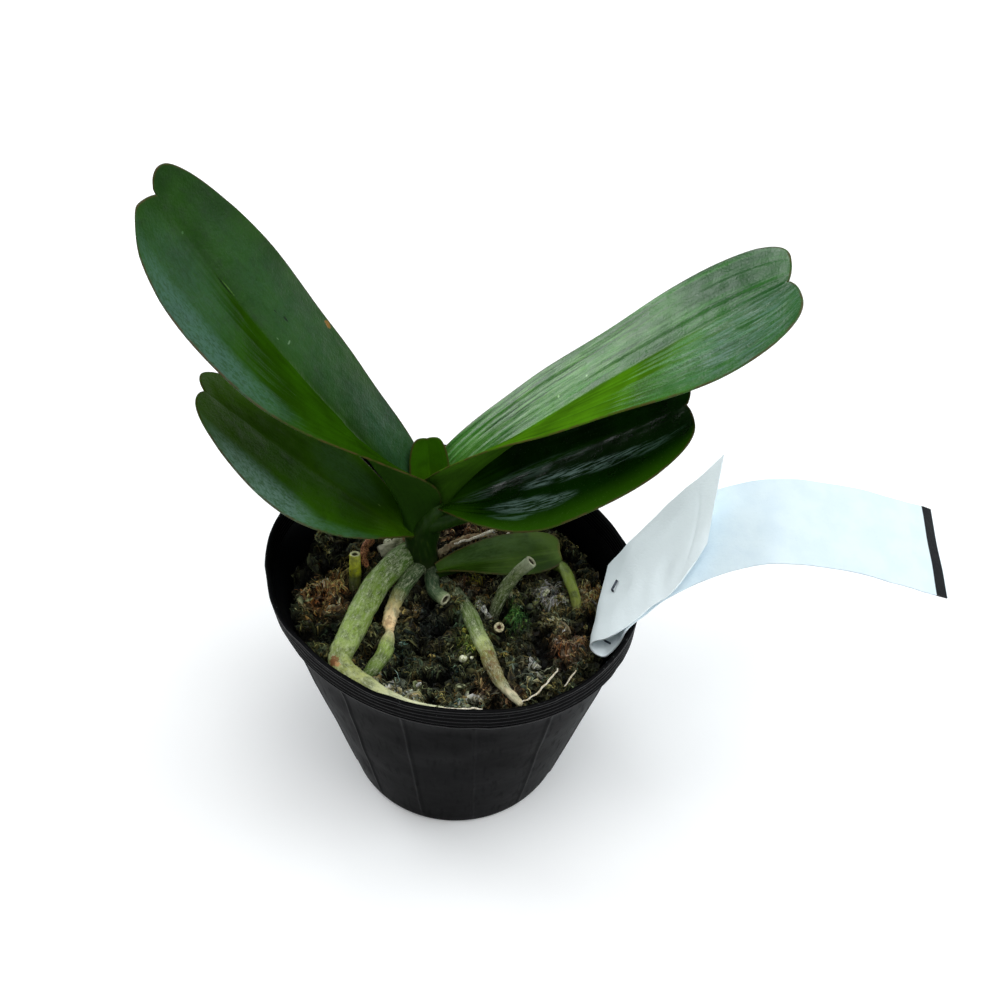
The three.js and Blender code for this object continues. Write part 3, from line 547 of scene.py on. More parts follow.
def pot_profile():
    """Stations up the outside and down the inside: form, height, step out and strength of the ribs."""
    foot, wall, top = POT.foot, POT.wall, POT.height
    first = BAND_BOTTOM + POT.ridge_start
    pitch = (POT.band_height - 2 * POT.ridge_start) / POT.ridges
    low = top - 0.5 - POT.inner_ridges * POT.inner_pitch
    outer = [
        (z, ridge_line(z, first, pitch, POT.ridges, POT.ridge_relief))
        for z in np.linspace(first, top - POT.ridge_start, POT.ridges * 7 + 1)
    ]
    relief = POT.inner_relief
    inner = [
        (z, -wall - relief - ridge_line(z, low, POT.inner_pitch, POT.inner_ridges, relief))
        for z in np.linspace(top - 0.5, low, POT.inner_ridges * 6 + 1)
    ]
    bend = np.linspace(0, math.pi / 2, 6)
    corner = [(foot * (1 - math.cos(turn)), foot * (math.sin(turn) - 1)) for turn in bend]
    under = [(BAND_BOTTOM, -0.3), (BAND_BOTTOM + 0.08, -0.08), (BAND_BOTTOM + 0.3, 0)]
    lip = [(top - 0.35, 0), (top - 0.12, -0.06), (top, -0.22), (top, -0.62), (top - 0.1, -0.8)]
    inside = [(z, -wall) for z in np.linspace(BAND_BOTTOM - foot, 2 * foot, 16)]
    inside += [(POT.floor + 0.3, -wall - 0.4), (POT.floor, -wall - foot)]
    runs = (
        (body_radius, 0, corner),
        (body_radius, 1, [(z, 0) for z in np.linspace(2 * foot, BAND_BOTTOM - 1, 26)]),
        (body_radius, 0, [(BAND_BOTTOM - 0.45, 0), (BAND_BOTTOM - 0.15, 0.12)]),
        (band_radius, 0, under + outer + lip + inner),
        (body_radius, 0, inside),
    )
    return [(form, z, out, ribs) for form, ribs, places in runs for z, out in places]


def make_pot():
    pitch = 360 / POT.ribs
    offsets = np.concatenate([np.linspace(-1.8, 1.8, 13), np.linspace(2.8, pitch - 2.8, 14)])
    angles = np.radians((POT.rib_start + pitch * np.arange(POT.ribs)[:, None] + offsets).ravel())
    from_rib = np.radians((np.degrees(angles) - POT.rib_start + pitch / 2) % pitch - pitch / 2)
    bumps, fine = waves(31, 26), waves(32, 7)
    rings = []
    for form, z, out, ribs in pot_profile():
        radius = form(angles, z) + out
        radius = radius + ribs * POT.rib_relief * np.exp(-(from_rib * radius / POT.rib_width) ** 2)
        spots = round_axis(radius, angles, z)
        dents = 0.28 * bumps(spots) + (0.1 * fine(spots * (1, 1, 0.3)) if z > BAND_BOTTOM else 0)
        radius = radius + np.clip(step(2, 60, z) * dents, -0.5, 0.25 * (1 - step(40, 60, z)))
        rings.append(round_axis(radius, angles, z))
    return drilled(mesh_object("pot_shell", *sweep(np.array(rings)), sharp=50))


def drilled(piece):
    """The pot with its drain holes."""
    drill = bmesh.new()
    for angle in turns(POT.drain_holes):
        centre = Vector((math.cos(angle), math.sin(angle), 0)) * POT.drain_circle * MM
        bmesh.ops.create_cone(
            drill, cap_ends=True, segments=24, radius1=POT.drain_radius * MM, radius2=POT.drain_radius * MM,
            depth=POT.floor * 4 * MM, matrix=Matrix.Translation(centre),
        )
    drill_mesh = bpy.data.meshes.new("drill")
    drill.to_mesh(drill_mesh)
    drill.free()
    drill_piece = linked("drill", drill_mesh)
    cut = piece.modifiers.new("drain", "BOOLEAN")
    cut.operation = "DIFFERENCE"
    cut.solver = "EXACT"
    cut.object = drill_piece
    bpy.context.view_layer.update()
    mesh = bpy.data.meshes.new_from_object(piece.evaluated_get(bpy.context.evaluated_depsgraph_get()))
    piece.modifiers.clear()
    piece.data = mesh
    bpy.data.objects.remove(drill_piece)
    return piece


def pot_finish():
    look = Finish("pot_plastic_worn", Specular_IOR_Level=0.03)
    drift = look.noise(22, 3)
    scuffs = look.noise(1.3, 4, look.upright(0.14))
    height = look.height()
    look.base((5, 5, 6), (11, 11, 13), drift.ramp(0.3, 0.7))
    dust = look.noise(0.6, 3).ramp(0.66, 0.76) * (height.ramp(66, 78) + 0.08)
    look.coat((110, 114, 112), dust * 0.35)
    rough = drift.ramp(0.25, 0.75, 0.34, 0.46) + scuffs.ramp(0.5, 0.75, 0.0, 0.1)
    level = height.ramp(60, 72, 0.008, 0.04) + drift.ramp(0.3, 0.7, 0.0, 0.006)
    return look.finish(rough, ((look.noise(9, 2), 0.16), (scuffs, 0.02), (look.noise(0.35, 2), 0.01)), level)


# Stem

def make_stem():
    shares = np.linspace(0, 1, 90)
    angles = turns(48)
    reach = 1 + 0.05 * np.cos(2 * angles + shares[:, None] * 9)
    seams = 1 - 0.05 * np.exp(-((np.sin(angles * 1.5 + shares[:, None] * 2.4)) / 0.16) ** 2)
    shells = []
    for rows, swell, axes in (
        (curve_at(STEM, shares), reach * seams, (0, 1)),
        (curve_at(SHEATH, np.linspace(0, 1, 40)), 1, (1, 2)),
    ):
        across, over = np.eye(3)[list(axes)]
        spokes = (rows[:, 3:4] * swell * np.cos(angles))[..., None] * across
        spokes = spokes + (rows[:, 4:5] * swell * np.sin(angles))[..., None] * over
        shells.append(rows[:, None, :3] + spokes)
    shells[0] = shells[0] + 0.12 * waves(41, 5)(shells[0])[..., None]
    return mesh_object("stem_body", *joined([sweep(rings) for rings in shells]), sharp=60)


def stem_finish():
    look = Finish("stem_green_glossy", Specular_IOR_Level=0.25)
    streaks = look.noise(0.9, 3, look.upright(0.12))
    greens = ((0.0, (40, 44, 22)), (0.3, (24, 46, 10)), (0.7, (22, 52, 6)), (1.0, (40, 76, 10)))
    greens = [(place, colour(*green)) for place, green in greens]
    look.shade = look.stops(look.height().ramp(62, 90), greens)
    look.coat((60, 84, 24), streaks.ramp(0.5, 0.75) * 0.5)
    look.coat((12, 26, 4), look.noise(5, 2).ramp(0.5, 0.8) * 0.5)
    return look.finish(streaks.ramp(0.3, 0.7, 0.3, 0.48), ((streaks, 0.12), (look.noise(0.5, 2), 0.03)))


# Roots

ROOT_SIDES = 28
# Depth, seed and size of the knobs of a root, in shares of its radius.
KNOBS = ((0.05, 0, 7), (0.014, 50, 2.6), (0.008, 70, 0.9))
# The cut end of a root: shift along it and scale, and where the rim and the hollow are painted.
CUT_END = ((0.1, 0.98), (0.2, 0.9), (0.2, 0.62), (-0.15, 0.5), (-0.7, 0.42))
CUT_PAINT = (1, 1, 2, 2)
# The last points of the thick root are thinner and lower than in the CAD model.
THICK_ROOT_THINNER = (0.9, 0.72, 0.62, 0.6)
THICK_ROOT_LOWER = (0.5, 1.6, 2.4, 2.8)


def route_length(route):
    return sum(math.dist(first[:3], second[:3]) for first, second in zip(route, route[1:]))


def make_root(name, route):
    """A root as a swept round body with soft knobs, a rounded tip, and a hollow where it was cut."""
    seed = 100 + list(ROOTS).index(name)
    route = np.array(route, float)
    if name == "root_thick":
        route[-4:, 3] *= THICK_ROOT_THINNER
        route[-4:, 2] -= THICK_ROOT_LOWER
    rows = max(int(route_length(route) / 0.4), 12)
    shares = np.linspace(0, 1, rows)
    line = curve_at(route, shares)
    path, radius = line[:, :3], line[:, 3]
    tangents, normals, binormals = frames_along(path)
    bend = np.linspace(0.12, math.pi / 2 - 0.1, 6)
    tip = CUT_END if name in CUT else [(math.sin(turn) * 0.8, math.cos(turn)) for turn in bend]
    stations = [(0, -math.sin(turn) * 0.7, math.cos(turn)) for turn in bend[::-1]]
    stations += [(row, 0, 1) for row in range(rows)] + [(rows - 1, *place) for place in tip]
    row, shift, scale = map(np.array, zip(*stations))
    share, size = shares[row][:, None], radius[row][:, None, None]
    turn = turns(ROOT_SIDES)[:, None]
    spokes = np.cos(turn) * normals[row][:, None] + np.sin(turn) * binormals[row][:, None]
    middles = path[row] + tangents[row] * (shift * radius[row])[:, None]
    rings = middles[:, None] + size * scale[:, None, None] * spokes
    outward = unit(rings - path[row][:, None] + 1e-9)
    knobs = sum(depth * waves(seed + extra, wide)(rings) for depth, extra, wide in KNOBS)
    for place, width, deep in CREASES.get(name, ()):
        knobs = knobs - deep * np.exp(-((share - place) / width) ** 2)
    if name in WRINKLED:
        start, end, coarse = WRINKLED[name]
        inside = step(start, start + 0.05, share) * (1 - step(end - 0.05, end, share))
        knobs = knobs + inside * coarse * (waves(seed + 90, 1.6)(rings) + 0.7 * waves(seed + 95, 0.8)(rings))
    pit = np.zeros((len(row), 1))
    if name in CUT:
        pit[-len(CUT_PAINT):, 0] = CUT_PAINT
    way = np.stack(np.broadcast_arrays(share, turn[:, 0], pit), axis=-1).reshape(-1, 3)
    return mesh_object(name + "_skin", *sweep(rings + outward * knobs[..., None] * size), sharp=65, way=way)


def root_finish(name, places, speckle, brown=(), gloss=0.5, marks=()):
    """Root skin: colours along it, silvery flecks that run lengthwise, brown bruises, pale cut rims, and
    hollows painted dark brown, their own brown and painted shade.
    """
    look = Finish(name + "_look", Specular_IOR_Level=0.25)
    along, turn, pit = look.parts("way")
    around = look.vector(along * (route_length(ROOTS[name]) * 0.16), turn.math("COSINE"), turn.math("SINE"))
    flecks = look.noise(0.22, 6, around, 0.75, 0.3)
    streaks = look.noise(0.5, 3, around, 0.6)
    grain = look.noise(0.5, 5, None, 0.75)
    drift = look.noise(2.6, 3)
    skin = look.stops(along, [(place, colour(*shade)) for place, shade in places])
    deep = look.mixed(skin, (26, 40, 6), 0.55)
    look.base(deep, skin, drift.ramp(0.34, 0.54))
    look.coat(deep, streaks.ramp(0.52, 0.68) * 0.6)
    silver = flecks.ramp(0.42, 0.66) * grain.ramp(0.36, 0.58, 0.25, 1.0)
    look.coat((200, 208, 172), silver * drift.ramp(0.3, 0.6, speckle, speckle * 0.6))
    look.coat((34, 34, 14), look.noise(0.7, 4).ramp(0.6, 0.68) * 0.35)
    for place, width, strength in brown:
        jitter = along + look.noise(1.4, 3).ramp(0.25, 0.75, -0.035, 0.035)
        near = (jitter - place).math("ABSOLUTE").ramp(width, width * 0.3)
        look.coat((112, 66, 32), near * look.noise(1.0, 3).ramp(0.42, 0.58) * strength)
    for *middle, reach, mark in marks:
        far = look.add("VectorMath", {0: look.place, 1: middle}, "Value", operation="DISTANCE")
        look.coat(mark, (far / reach + grain.ramp(0.3, 0.7, -0.35, 0.35)).ramp(1.0, 0.55))
    look.coat((208, 206, 172), pit.ramp(0.4, 1.0, 0.0, 0.75))
    # The hollow is painted dark brown: the cut's own brown and painted shade in the pit.
    look.coat((52, 44, 26), pit.ramp(1.2, 1.8, 0.0, 0.9))
    heights = ((flecks, 0.05), (grain, 0.06), (streaks, 0.1))
    return look.finish(grain.ramp(0.3, 0.7, gloss, gloss + 0.2), heights)


# Moss

def bed_samples():
    """Points along the roots that lie on the moss, as the CAD model takes them."""
    lots = []
    for name in BEDDED:
        route = np.array(ROOTS[name], float)
        last = len(route) - 1
        shares = np.linspace(0, 1, last * MOSS.bed_steps + 1)
        line = curve_at(route, shares)
        line[:, 3] = np.interp(shares * last, np.arange(last + 1), route[:, 3])
        lots.append(line)
    return np.vstack(lots)


def lump_table():
    """Lumps of the moss, as the CAD model draws them: X, Y, radius and height."""
    draw = seeded_random(MOSS.seed)
    lumps = []
    for _ in range(MOSS.lumps):
        angle = draw() * FULL_TURN
        reach = math.sqrt(draw()) * POT.rim_short
        radius = mix(*MOSS.lump_radius, draw())
        height = MOSS.lump_height * mix(-1, 1.3, draw())
        lumps.append((reach * math.cos(angle), reach * math.sin(angle), radius, height))
    return lumps


LUMPS = lump_table()
BEDS = bed_samples()


def moss_height(x, y):
    """Height of the moss at places, as in the CAD model."""
    from_crown = np.hypot(x - STEM[2][0], y - STEM[2][1]) / MOSS.dome_radius
    height = MOSS.edge_height + MOSS.dome * np.exp(-from_crown ** 2)
    for lump_x, lump_y, radius, lump in LUMPS:
        height = height + lump * np.exp(-((x - lump_x) ** 2 + (y - lump_y) ** 2) / radius ** 2)
    away = np.hypot(x[..., None] - BEDS[:, 0], y[..., None] - BEDS[:, 1]) / (BEDS[:, 3] + MOSS.bed_margin)
    weight = np.exp(-away ** 2)
    bed = BEDS[weight.argmax(axis=-1)]
    return mix(height, bed[..., 2] - bed[..., 3] * MOSS.bed_depth, weight.max(axis=-1))


def moss_void(angle):
    """How far the moss has drawn back from the wall."""
    degrees = np.degrees(np.arctan2(np.sin(angle), np.cos(angle)))
    return sum(depth * np.exp(-((degrees - middle) / width) ** 2) for middle, width, depth in MOSS_VOIDS)


def moss_limit(angle, z=MOSS.shoulder):
    return body_radius(angle, z) - POT.wall - MOSS.wall_clearance


def moss_clumps(x, y):
    """How far the bed stands up in clumps or sinks into dark gaps."""
    flat = np.stack([x, y, np.zeros_like(x)], axis=-1)
    wide = waves(51, 9, 30)(flat)
    close = waves(54, 4.2, 40)(flat)
    gaps = np.clip(-(0.7 * wide + 0.9 * close) - 0.25, 0, 1.6)
    return 0.95 * wide + 0.8 * close - 1.7 * gaps


MOSS_DARK = (50, 51, 31)
# Patches of colour in the moss: middle, reach and colour.
PATCHES = (
    (-33, 2, 6, (126, 86, 52)), (-29, -3, 5, (96, 76, 46)), (-27, 8, 4, (100, 88, 50)),
    (-14, 9, 3.5, (112, 80, 50)), (-24, 13, 4, (104, 92, 60)), (2, 20, 5, (110, 80, 56)),
    (10, 22, 5, (96, 72, 52)), (-6, 18, 4, (96, 84, 60)), (31, -13, 5, (98, 74, 56)),
    (27, -16, 5, (90, 68, 50)), (27, -8, 5, (86, 84, 58)), (36, 0, 4, (110, 86, 52)),
    (38, -11, 4, (84, 72, 44)), (5, -33, 5, (96, 104, 80)), (-20, -30, 6, (112, 116, 94)),
    (25, 1, 3, (186, 182, 160)), (15, -30, 5, (70, 54, 36)), (7, -29, 4, (66, 48, 30)),
    (3, -8, 4, (40, 52, 32)), (6, -14, 3.5, (88, 106, 40)), (17, -6, 4.5, (42, 78, 30)),
    (20, -22, 5, (68, 70, 56)), (5, 4, 5, (64, 52, 34)), (6, 5, 1.6, (120, 124, 40)),
    (-31, -12, 5, (60, 66, 38)), (9, -5, 2, (150, 150, 120)), (-10, -6, 3, (104, 92, 60)),
    (-5, -9, 7, (16, 20, 15)), (-11, -20, 6, (22, 28, 18)), (0, -22, 5, (26, 32, 22)),
    (-12, -31, 5, (128, 130, 104)),
)
# Tufts that stand in given places: middle, reach, height and brightness.
PLACED_TUFTS = (
    (36, 1, 2.6, 3.4, 1.3), (34, -3, 2.5, 1.6, 1.2), (25, 1, 2.6, 2.0, 1.5), (5, 4, 4.5, 1.6, 1.0),
    (-33, 2, 4, 1.8, 1.4), (-36, -4, 2.5, 2.0, 1.2), (-24, 13, 3, 1.6, 1.1), (31, -13, 4, 1.2, 1.3),
    (27, -8, 3.5, 1.2, 1.2), (9, -5, 1.8, 1.8, 1.6), (-20, -30, 3, 0.8, 1.5), (-13, -31, 3, 0.6, 1.3),
    (-3, -31, 3.5, 0.4, 1.2), (6, -12, 2.2, 1.2, 1.4), (17, -6, 3, 0.8, 1.2), (0.5, 1.5, 2.2, 3.4, 1.0),
    (3, -3, 2.2, 3.2, 1.2), (4.6, -7, 2, 2.6, 1.5), (7.6, -3, 2, 2.0, 1.3), (25, 1, 2.2, 2.2, 1.8),
    (-10, -6, 2, 0.8, 1.2), (-9, -22, 4, 0.6, 1.0), (34, -19, 3, 0.8, 1.1), (27, -27, 3, 0.4, 1.2),
    (-30, -16, 3, 1.2, 1.0),
)


def tuft_table(count=230):
    """Tufts of moss: middle, reach, height and brightness."""
    rng = np.random.default_rng(57)
    angle = rng.uniform(0, FULL_TURN, count)
    reach = np.sqrt(rng.uniform(0, 1, count)) * (moss_limit(angle) - moss_void(angle) - 1)
    sizes = [rng.uniform(1.8, 4.2, count), rng.uniform(-0.6, 1.4, count)]
    bright = np.exp(rng.normal(-0.1, 0.6, count))
    grown = np.stack([reach * np.cos(angle), reach * np.sin(angle), *sizes, bright], axis=-1)
    return np.vstack([grown, np.repeat(np.array(PLACED_TUFTS), 3, axis=0)])


def route_samples(names):
    return [curve_at(ROOTS[name], np.linspace(0, 1, 60)) for name in names]


TUFTS = tuft_table()
# Points and radii of what lies on the moss, without the buried start of root_front, and of what stands in it.
LAID = np.vstack([
    *route_samples([name for name in BEDDED if name != "root_front"]), route_samples(["root_front"])[0][20:],
])
POSTS = np.vstack([
    *route_samples([name for name in ROOTS if name not in BEDDED]),
    curve_at([(*row[:3], max(row[3:])) for row in STEM], np.linspace(0, 1, 30)),
])


def moss_colour(spots, rng):
    """Colour of each strand from the patch that it lies in, linear, with its own tone."""
    shade = np.tile(colour(*MOSS_DARK)[:3], (len(spots), 1))
    for x, y, reach, patch in PATCHES:
        away = np.hypot(spots[:, 0] - x, spots[:, 1] - y) / reach
        share = np.clip(1.35 * np.exp(-away ** 2) - rng.uniform(0, 0.6, len(spots)), 0, 1)[:, None]
        shade = mix(shade, np.array(colour(*patch)[:3]), share)
    return shade * np.exp(rng.normal(0, 0.2, (len(spots), 1)) * (1.0, 0.1, -0.9))


# The wall of the bed: height, share of the drawn back stretches, and inset.
BED_WALL = ((POT.floor + 0.3, 0, 2.8), (4.2, 0, 0), (44, 0, 0), (52, 1, 0), (58, 1, 0))


def make_moss_bed(sides=240, rings=80):
    angles = turns(sides)
    fine = waves(52, 1.3, 40)
    rows = [
        round_axis(moss_limit(angles, z) - inset - moss_void(angles) * void_share, angles, z)
        for z, void_share, inset in BED_WALL
    ]
    # Painted shade: the wall of the bed is painted dark where it stands against the pot wall.
    lit = [np.full(sides, 0.2)] * len(BED_WALL)
    limit = moss_limit(angles) - moss_void(angles)
    for row in range(rings):
        flat = round_axis(limit * (1 - row / (rings - 0.6)), angles, 0)
        x, y, _ = flat.T
        clumps = moss_clumps(x, y)
        z = moss_height(x, y) - 1.2 - MOSS.edge_drop * (row == 0) + clumps + 0.22 * fine(flat)
        rows.append(np.stack([x, y, z], axis=-1))
        # Painted shade and light: the bed is painted darker where it sinks into gaps and lighter on clumps.
        lit.append(0.04 + 0.5 * step(-1.4, 1.9, clumps))
    spots, faces = sweep(np.array(rows))
    shade = moss_colour(spots, np.random.default_rng(53)) * np.concatenate(lit)[:, None]
    return mesh_object("moss_bed", spots, faces, tint=shade)


def scattered(rng, count, gather):
    """Tufts drawn at random, and an angle and a place near each, in columns."""
    tufts = TUFTS[rng.integers(0, len(TUFTS), count)]
    angle = rng.uniform(0, FULL_TURN, (count, 1))
    reach = np.abs(rng.normal(0, gather, (count, 1))) * tufts[:, 2:3]
    return tufts, angle, tufts[:, :1] + reach * np.cos(angle), tufts[:, 1:2] + reach * np.sin(angle)


def drawn_in(x, y, void_share, margin):
    """Places that lie past the edge of the root ball, brought in to it."""
    around = np.arctan2(y, x)
    reach = moss_limit(around) - moss_void(around) * void_share - margin
    pull = np.minimum(1, reach / np.hypot(x, y))
    return x * pull, y * pull


def mound(x, y, tufts):
    """How far each tuft lifts what lies on it."""
    from_tuft = np.hypot(x - tufts[:, :1], y - tufts[:, 1:2]) / tufts[:, 2:3]
    return tufts[:, 3:4] * np.exp(-from_tuft ** 2)


def from_posts(spots, share):
    """Distance to the nearest root or stem that stands in the moss."""
    away = np.linalg.norm(spots[..., None, :] - POSTS[:, :3], axis=-1) - POSTS[:, 3] * share
    return away.min(axis=(1, 2))


# Corners of a strand: out to the side, down, and brightness. The brighter edges are a painted highlight.
CUPPED = ((1, 0, 2.5), (0, 0.5, 0.4), (-1, 0, 2.5), (0, 1.5, 0.3))
RIDGED = ((1, 0, 1.6), (-1, 0, 1.6), (0, 1, 0.6))


def moss_strands(
    name, count, seed, length, width, lift, sink, curl, tone, deep, corners, knots=7, gather=0.5,
):
    """Curled moss leaves and threads in tufts over the bed, each a thin closed ribbon, with painted highlight
    on its edges and painted shade where it sinks low.
    """
    rng = np.random.default_rng(seed)
    column = (count, 1)
    tufts, angle, x, y = scattered(rng, count, gather)
    along = np.linspace(0, 1, knots)[None, :]
    pace = rng.uniform(*length, column) / (knots - 1)
    bend = rng.normal(0, 1, column) * curl
    swing = rng.uniform(0.6, 2.2, column) * along + rng.uniform(0, 1, column)
    wiggle = rng.uniform(0.2, 1.1, column) * np.sin(FULL_TURN * swing)
    heading = angle + rng.normal(0, 0.9, column) + bend * along + wiggle
    x = x + np.cumsum(np.cos(heading) * pace, axis=1)
    y = y + np.cumsum(np.sin(heading) * pace, axis=1)
    x, y = drawn_in(x, y, 0.8, 0.5)
    hop = rng.uniform(0.7, 2.0, column) * along + rng.uniform(0, 0.3, column)
    hops = rng.uniform(*lift, column) * np.abs(np.sin(math.pi * hop))
    rise = moss_clumps(x, y) + hops + mound(x, y, tufts) - rng.uniform(*sink, column)
    spots = np.stack([x, y, moss_height(x, y) - 0.9 + rise], axis=-1)
    keep = from_posts(spots, 0.95) > 0
    spots, tufts, rise = spots[keep], tufts[keep], rise[keep]
    gap = np.linalg.norm(spots[:, :, None, :2] - LAID[:, :2], axis=-1) / (LAID[:, 3] + 0.1)
    closest, root = gap.min(axis=2), LAID[gap.argmin(axis=2)]
    under = root[..., 2] - root[..., 3] * (0.1 + 0.9 * np.sqrt(np.clip(1 - closest ** 2, 0, 1))) - 0.1
    spots[:, :, 2] = np.where(closest < 1, np.minimum(spots[:, :, 2], under), spots[:, :, 2])

    rng = np.random.default_rng(seed + 1)
    total = len(spots)
    column, every = (total, 1), (total, knots)
    taper = 0.3 + 0.7 * np.sin(math.pi * np.clip(along * 0.92 + 0.05, 0, 1)) ** 0.7
    half = (rng.uniform(*width, column) * taper * rng.uniform(0.6, 1.4, every))[..., None]
    tangent = unit(np.gradient(spots, axis=1))
    side = unit(np.cross(tangent, (0.0, 0.0, 1.0)) + 1e-6)
    over = np.cross(side, tangent)
    tilt = rng.normal(0, 0.8, column) + along * rng.normal(0, 2.0, column)
    tilt = (tilt + rng.normal(0, 0.35, every))[..., None]
    broad = side * np.cos(tilt) + over * np.sin(tilt)
    thin = over * np.cos(tilt) - side * np.sin(tilt)
    rings = [spots + broad * half * out - thin * (half * deep) * down for out, down, _ in corners]
    rings = np.stack(rings, axis=2)
    _, faces = sweep(rings[0])
    bright = tufts[:, 4] * np.exp(rng.normal(-0.1, 0.65, total)) * tone
    shade = moss_colour(spots[:, knots // 2], rng) * bright[:, None]
    # Painted shade and light: strands are darker where they sink and lighter where they stand up.
    lit = (0.05 + 1.5 * step(-1.2, 2.9, rise))[:, :, None, None]
    # Painted highlight: the edge corners are painted lighter than the middle.
    pale = np.array([[brightness] for _, _, brightness in corners])
    edges = pale * rng.uniform(0.5, 1.6, (*every, len(corners), 1))
    tint = np.clip(shade[:, None, None, :] * edges * lit, 0, 0.6).reshape(-1, 3)
    faces = repeated(faces, knots * len(corners), total)
    return mesh_object(name, rings.reshape(-1, 3), faces, sharp=35, tint=tint)


def spun(spots, turn):
    """Points turned about Z."""
    x, y, z = np.moveaxis(spots, -1, 0)
    return np.stack([x * np.cos(turn) - y * np.sin(turn), x * np.sin(turn) + y * np.cos(turn), z], axis=-1)


def make_crumbs(count=1500):
    """Crumbs of dead moss and grit over the bed, all from one lumpy ball."""
    rng = np.random.default_rng(91)
    template, faces = ball(1)
    turn = rng.uniform(0, FULL_TURN)
    template = spun(template * rng.uniform(0.75, 1.25, (len(template), 1)), turn)
    template = template * (1, rng.uniform(0.7, 1), 0.8)
    tufts, _, x, y = scattered(rng, count, 0.7)
    x, y = drawn_in(x, y, 1, 0.8)
    clumps = moss_clumps(x, y)
    lift = rng.uniform(-0.6, 0.5, (count, 1))
    spots = np.stack([x, y, moss_height(x, y) - 0.5 + clumps + mound(x, y, tufts) * 0.8 + lift], axis=-1)
    gap = np.hypot(x - LAID[:, 0], y - LAID[:, 1]) / (LAID[:, 3] + 0.3)
    keep = (gap.min(axis=1) > 1) & (from_posts(spots, 1) > 0.4)
    spots, clumps = spots[keep], clumps[keep, 0]
    total, corners = len(spots), len(template)
    size = rng.uniform(0.16, 0.5, (total, 1, 1))
    turn = rng.uniform(0, FULL_TURN, (total, 1))
    crumbs = spun(template * rng.uniform(0.7, 1.3, (total, corners, 1)) * size, turn) + spots
    # Painted shade: crumbs in the gaps of the bed are painted darker.
    bright = np.exp(rng.normal(0.1, 0.7, total)) * (0.15 + 1.2 * step(-1.4, 1.6, clumps))
    tint = np.clip(moss_colour(spots[:, 0], rng) * bright[:, None] * 1.5, 0, 0.6)
    faces = repeated(faces, corners, total)
    return mesh_object("moss_crumbs", crumbs.reshape(-1, 3), faces, tint=np.repeat(tint, corners, axis=0))


def moss_finish(name, rough_low, rough_high, pale):
    look = Finish(name, Specular_IOR_Level=0.22)
    look.shade = look.named("tint", "Color")
    grain = look.noise(0.4, 4)
    look.coat((4, 6, 4), look.noise(1.8, 3).ramp(0.5, 0.7, 0.0, 0.7))
    look.coat(pale, grain.ramp(0.62, 0.74) * 0.22)
    heights = ((grain, 0.14), (look.noise(0.16, 2), 0.04))
    return look.finish(grain.ramp(0.3, 0.7, rough_low, rough_high), heights)


# Beads, a cut root end that looks up, dry rootlets and a curl over the moss

BEADS = ((3.3, -20.6, 1.05), (5.5, -20.0, 0.45), (24.6, 0.4, 0.75), (24.0, -0.6, 0.6), (-17, 14.4, 1.1))
CUT_RING = (12.3, -11.7, 1.25)
CUT_RING_LEAN = (0.1, -0.42, 1.0)
# Share of the radius, lift and darkness from the foot of the cut ring to its pit. The darkness is the cut's
# own brown and painted shade in the pit.
CUT_RING_PROFILE = (
    (0.9, -3.4, 0), (0.95, -1.5, 0), (1.05, -0.35, 0), (1.04, -0.08, 0), (0.92, 0.06, 0), (0.7, 0.04, 0),
    (0.46, -0.1, 0.6), (0.3, -0.3, 1), (0.22, -0.7, 1),
)
# Each rootlet's radius and route.
ROOTLETS = (
    (0.26, ((17, -33.6, 67), (20, -32.6, 68.4), (23.4, -30, 69.6), (25.8, -26.8, 69.8), (26.8, -24.4, 68.6))),
    (0.22, ((28.2, -29.6, 68.2), (29.8, -27.6, 69.4), (31.4, -25.2, 69))),
    (0.3, ((-3.6, -36.4, 69.6), (1.6, -37, 70), (8.4, -36.8, 69.8))),
    (0.4, ((13.4, 22.6, 67.6), (10.6, 18.4, 69.8), (4.4, 14.6, 70.6), (0.4, 13.6, 70.2))),
    (0.3, ((15.6, 20.2, 67.4), (12.4, 15.8, 69.2), (8.6, 13.6, 69.8))),
)
CURL = ((-21.6, 16.6, 68.4), (-21.2, 14, 71), (-22.4, 11.4, 72), (-23, 9, 70.6), (-22.2, 7.4, 68.2))


def top_of_moss(x, y, least):
    x, y = np.array([x]), np.array([y])
    return max(float(moss_height(x, y)[0] + moss_clumps(x, y)[0]), least)


def make_beads():
    shells = []
    for x, y, radius in BEADS:
        spots, faces = ball(3)
        lumpy = 1 + 0.07 * waves(96, 1.1)(spots + radius)[:, None]
        middle = (x, y, top_of_moss(x, y, 66.5) + radius * 0.7)
        shells.append((spots * lumpy * radius * (1, 0.9, 0.95) + middle, faces))
    return mesh_object("moss_beads", *joined(shells))


def make_cut_ring(sides=30):
    x, y, radius = CUT_RING
    lean = unit(np.array(CUT_RING_LEAN))
    first = unit(np.cross(lean, (1.0, 0, 0)))
    second = np.cross(lean, first)
    reach, lift, pit = np.array(CUT_RING_PROFILE).T[..., None, None]
    turn = turns(sides)[:, None]
    rings = (np.cos(turn) * first + np.sin(turn) * second) * radius * reach + lean * lift
    rings = rings + (x, y, top_of_moss(x, y, 67) + 1.2)
    rings = rings + 0.06 * waves(97, 1.2)(rings)[..., None] * lean
    return mesh_object("root_cut_ring", *sweep(rings), pit=np.repeat(pit.ravel(), sides))


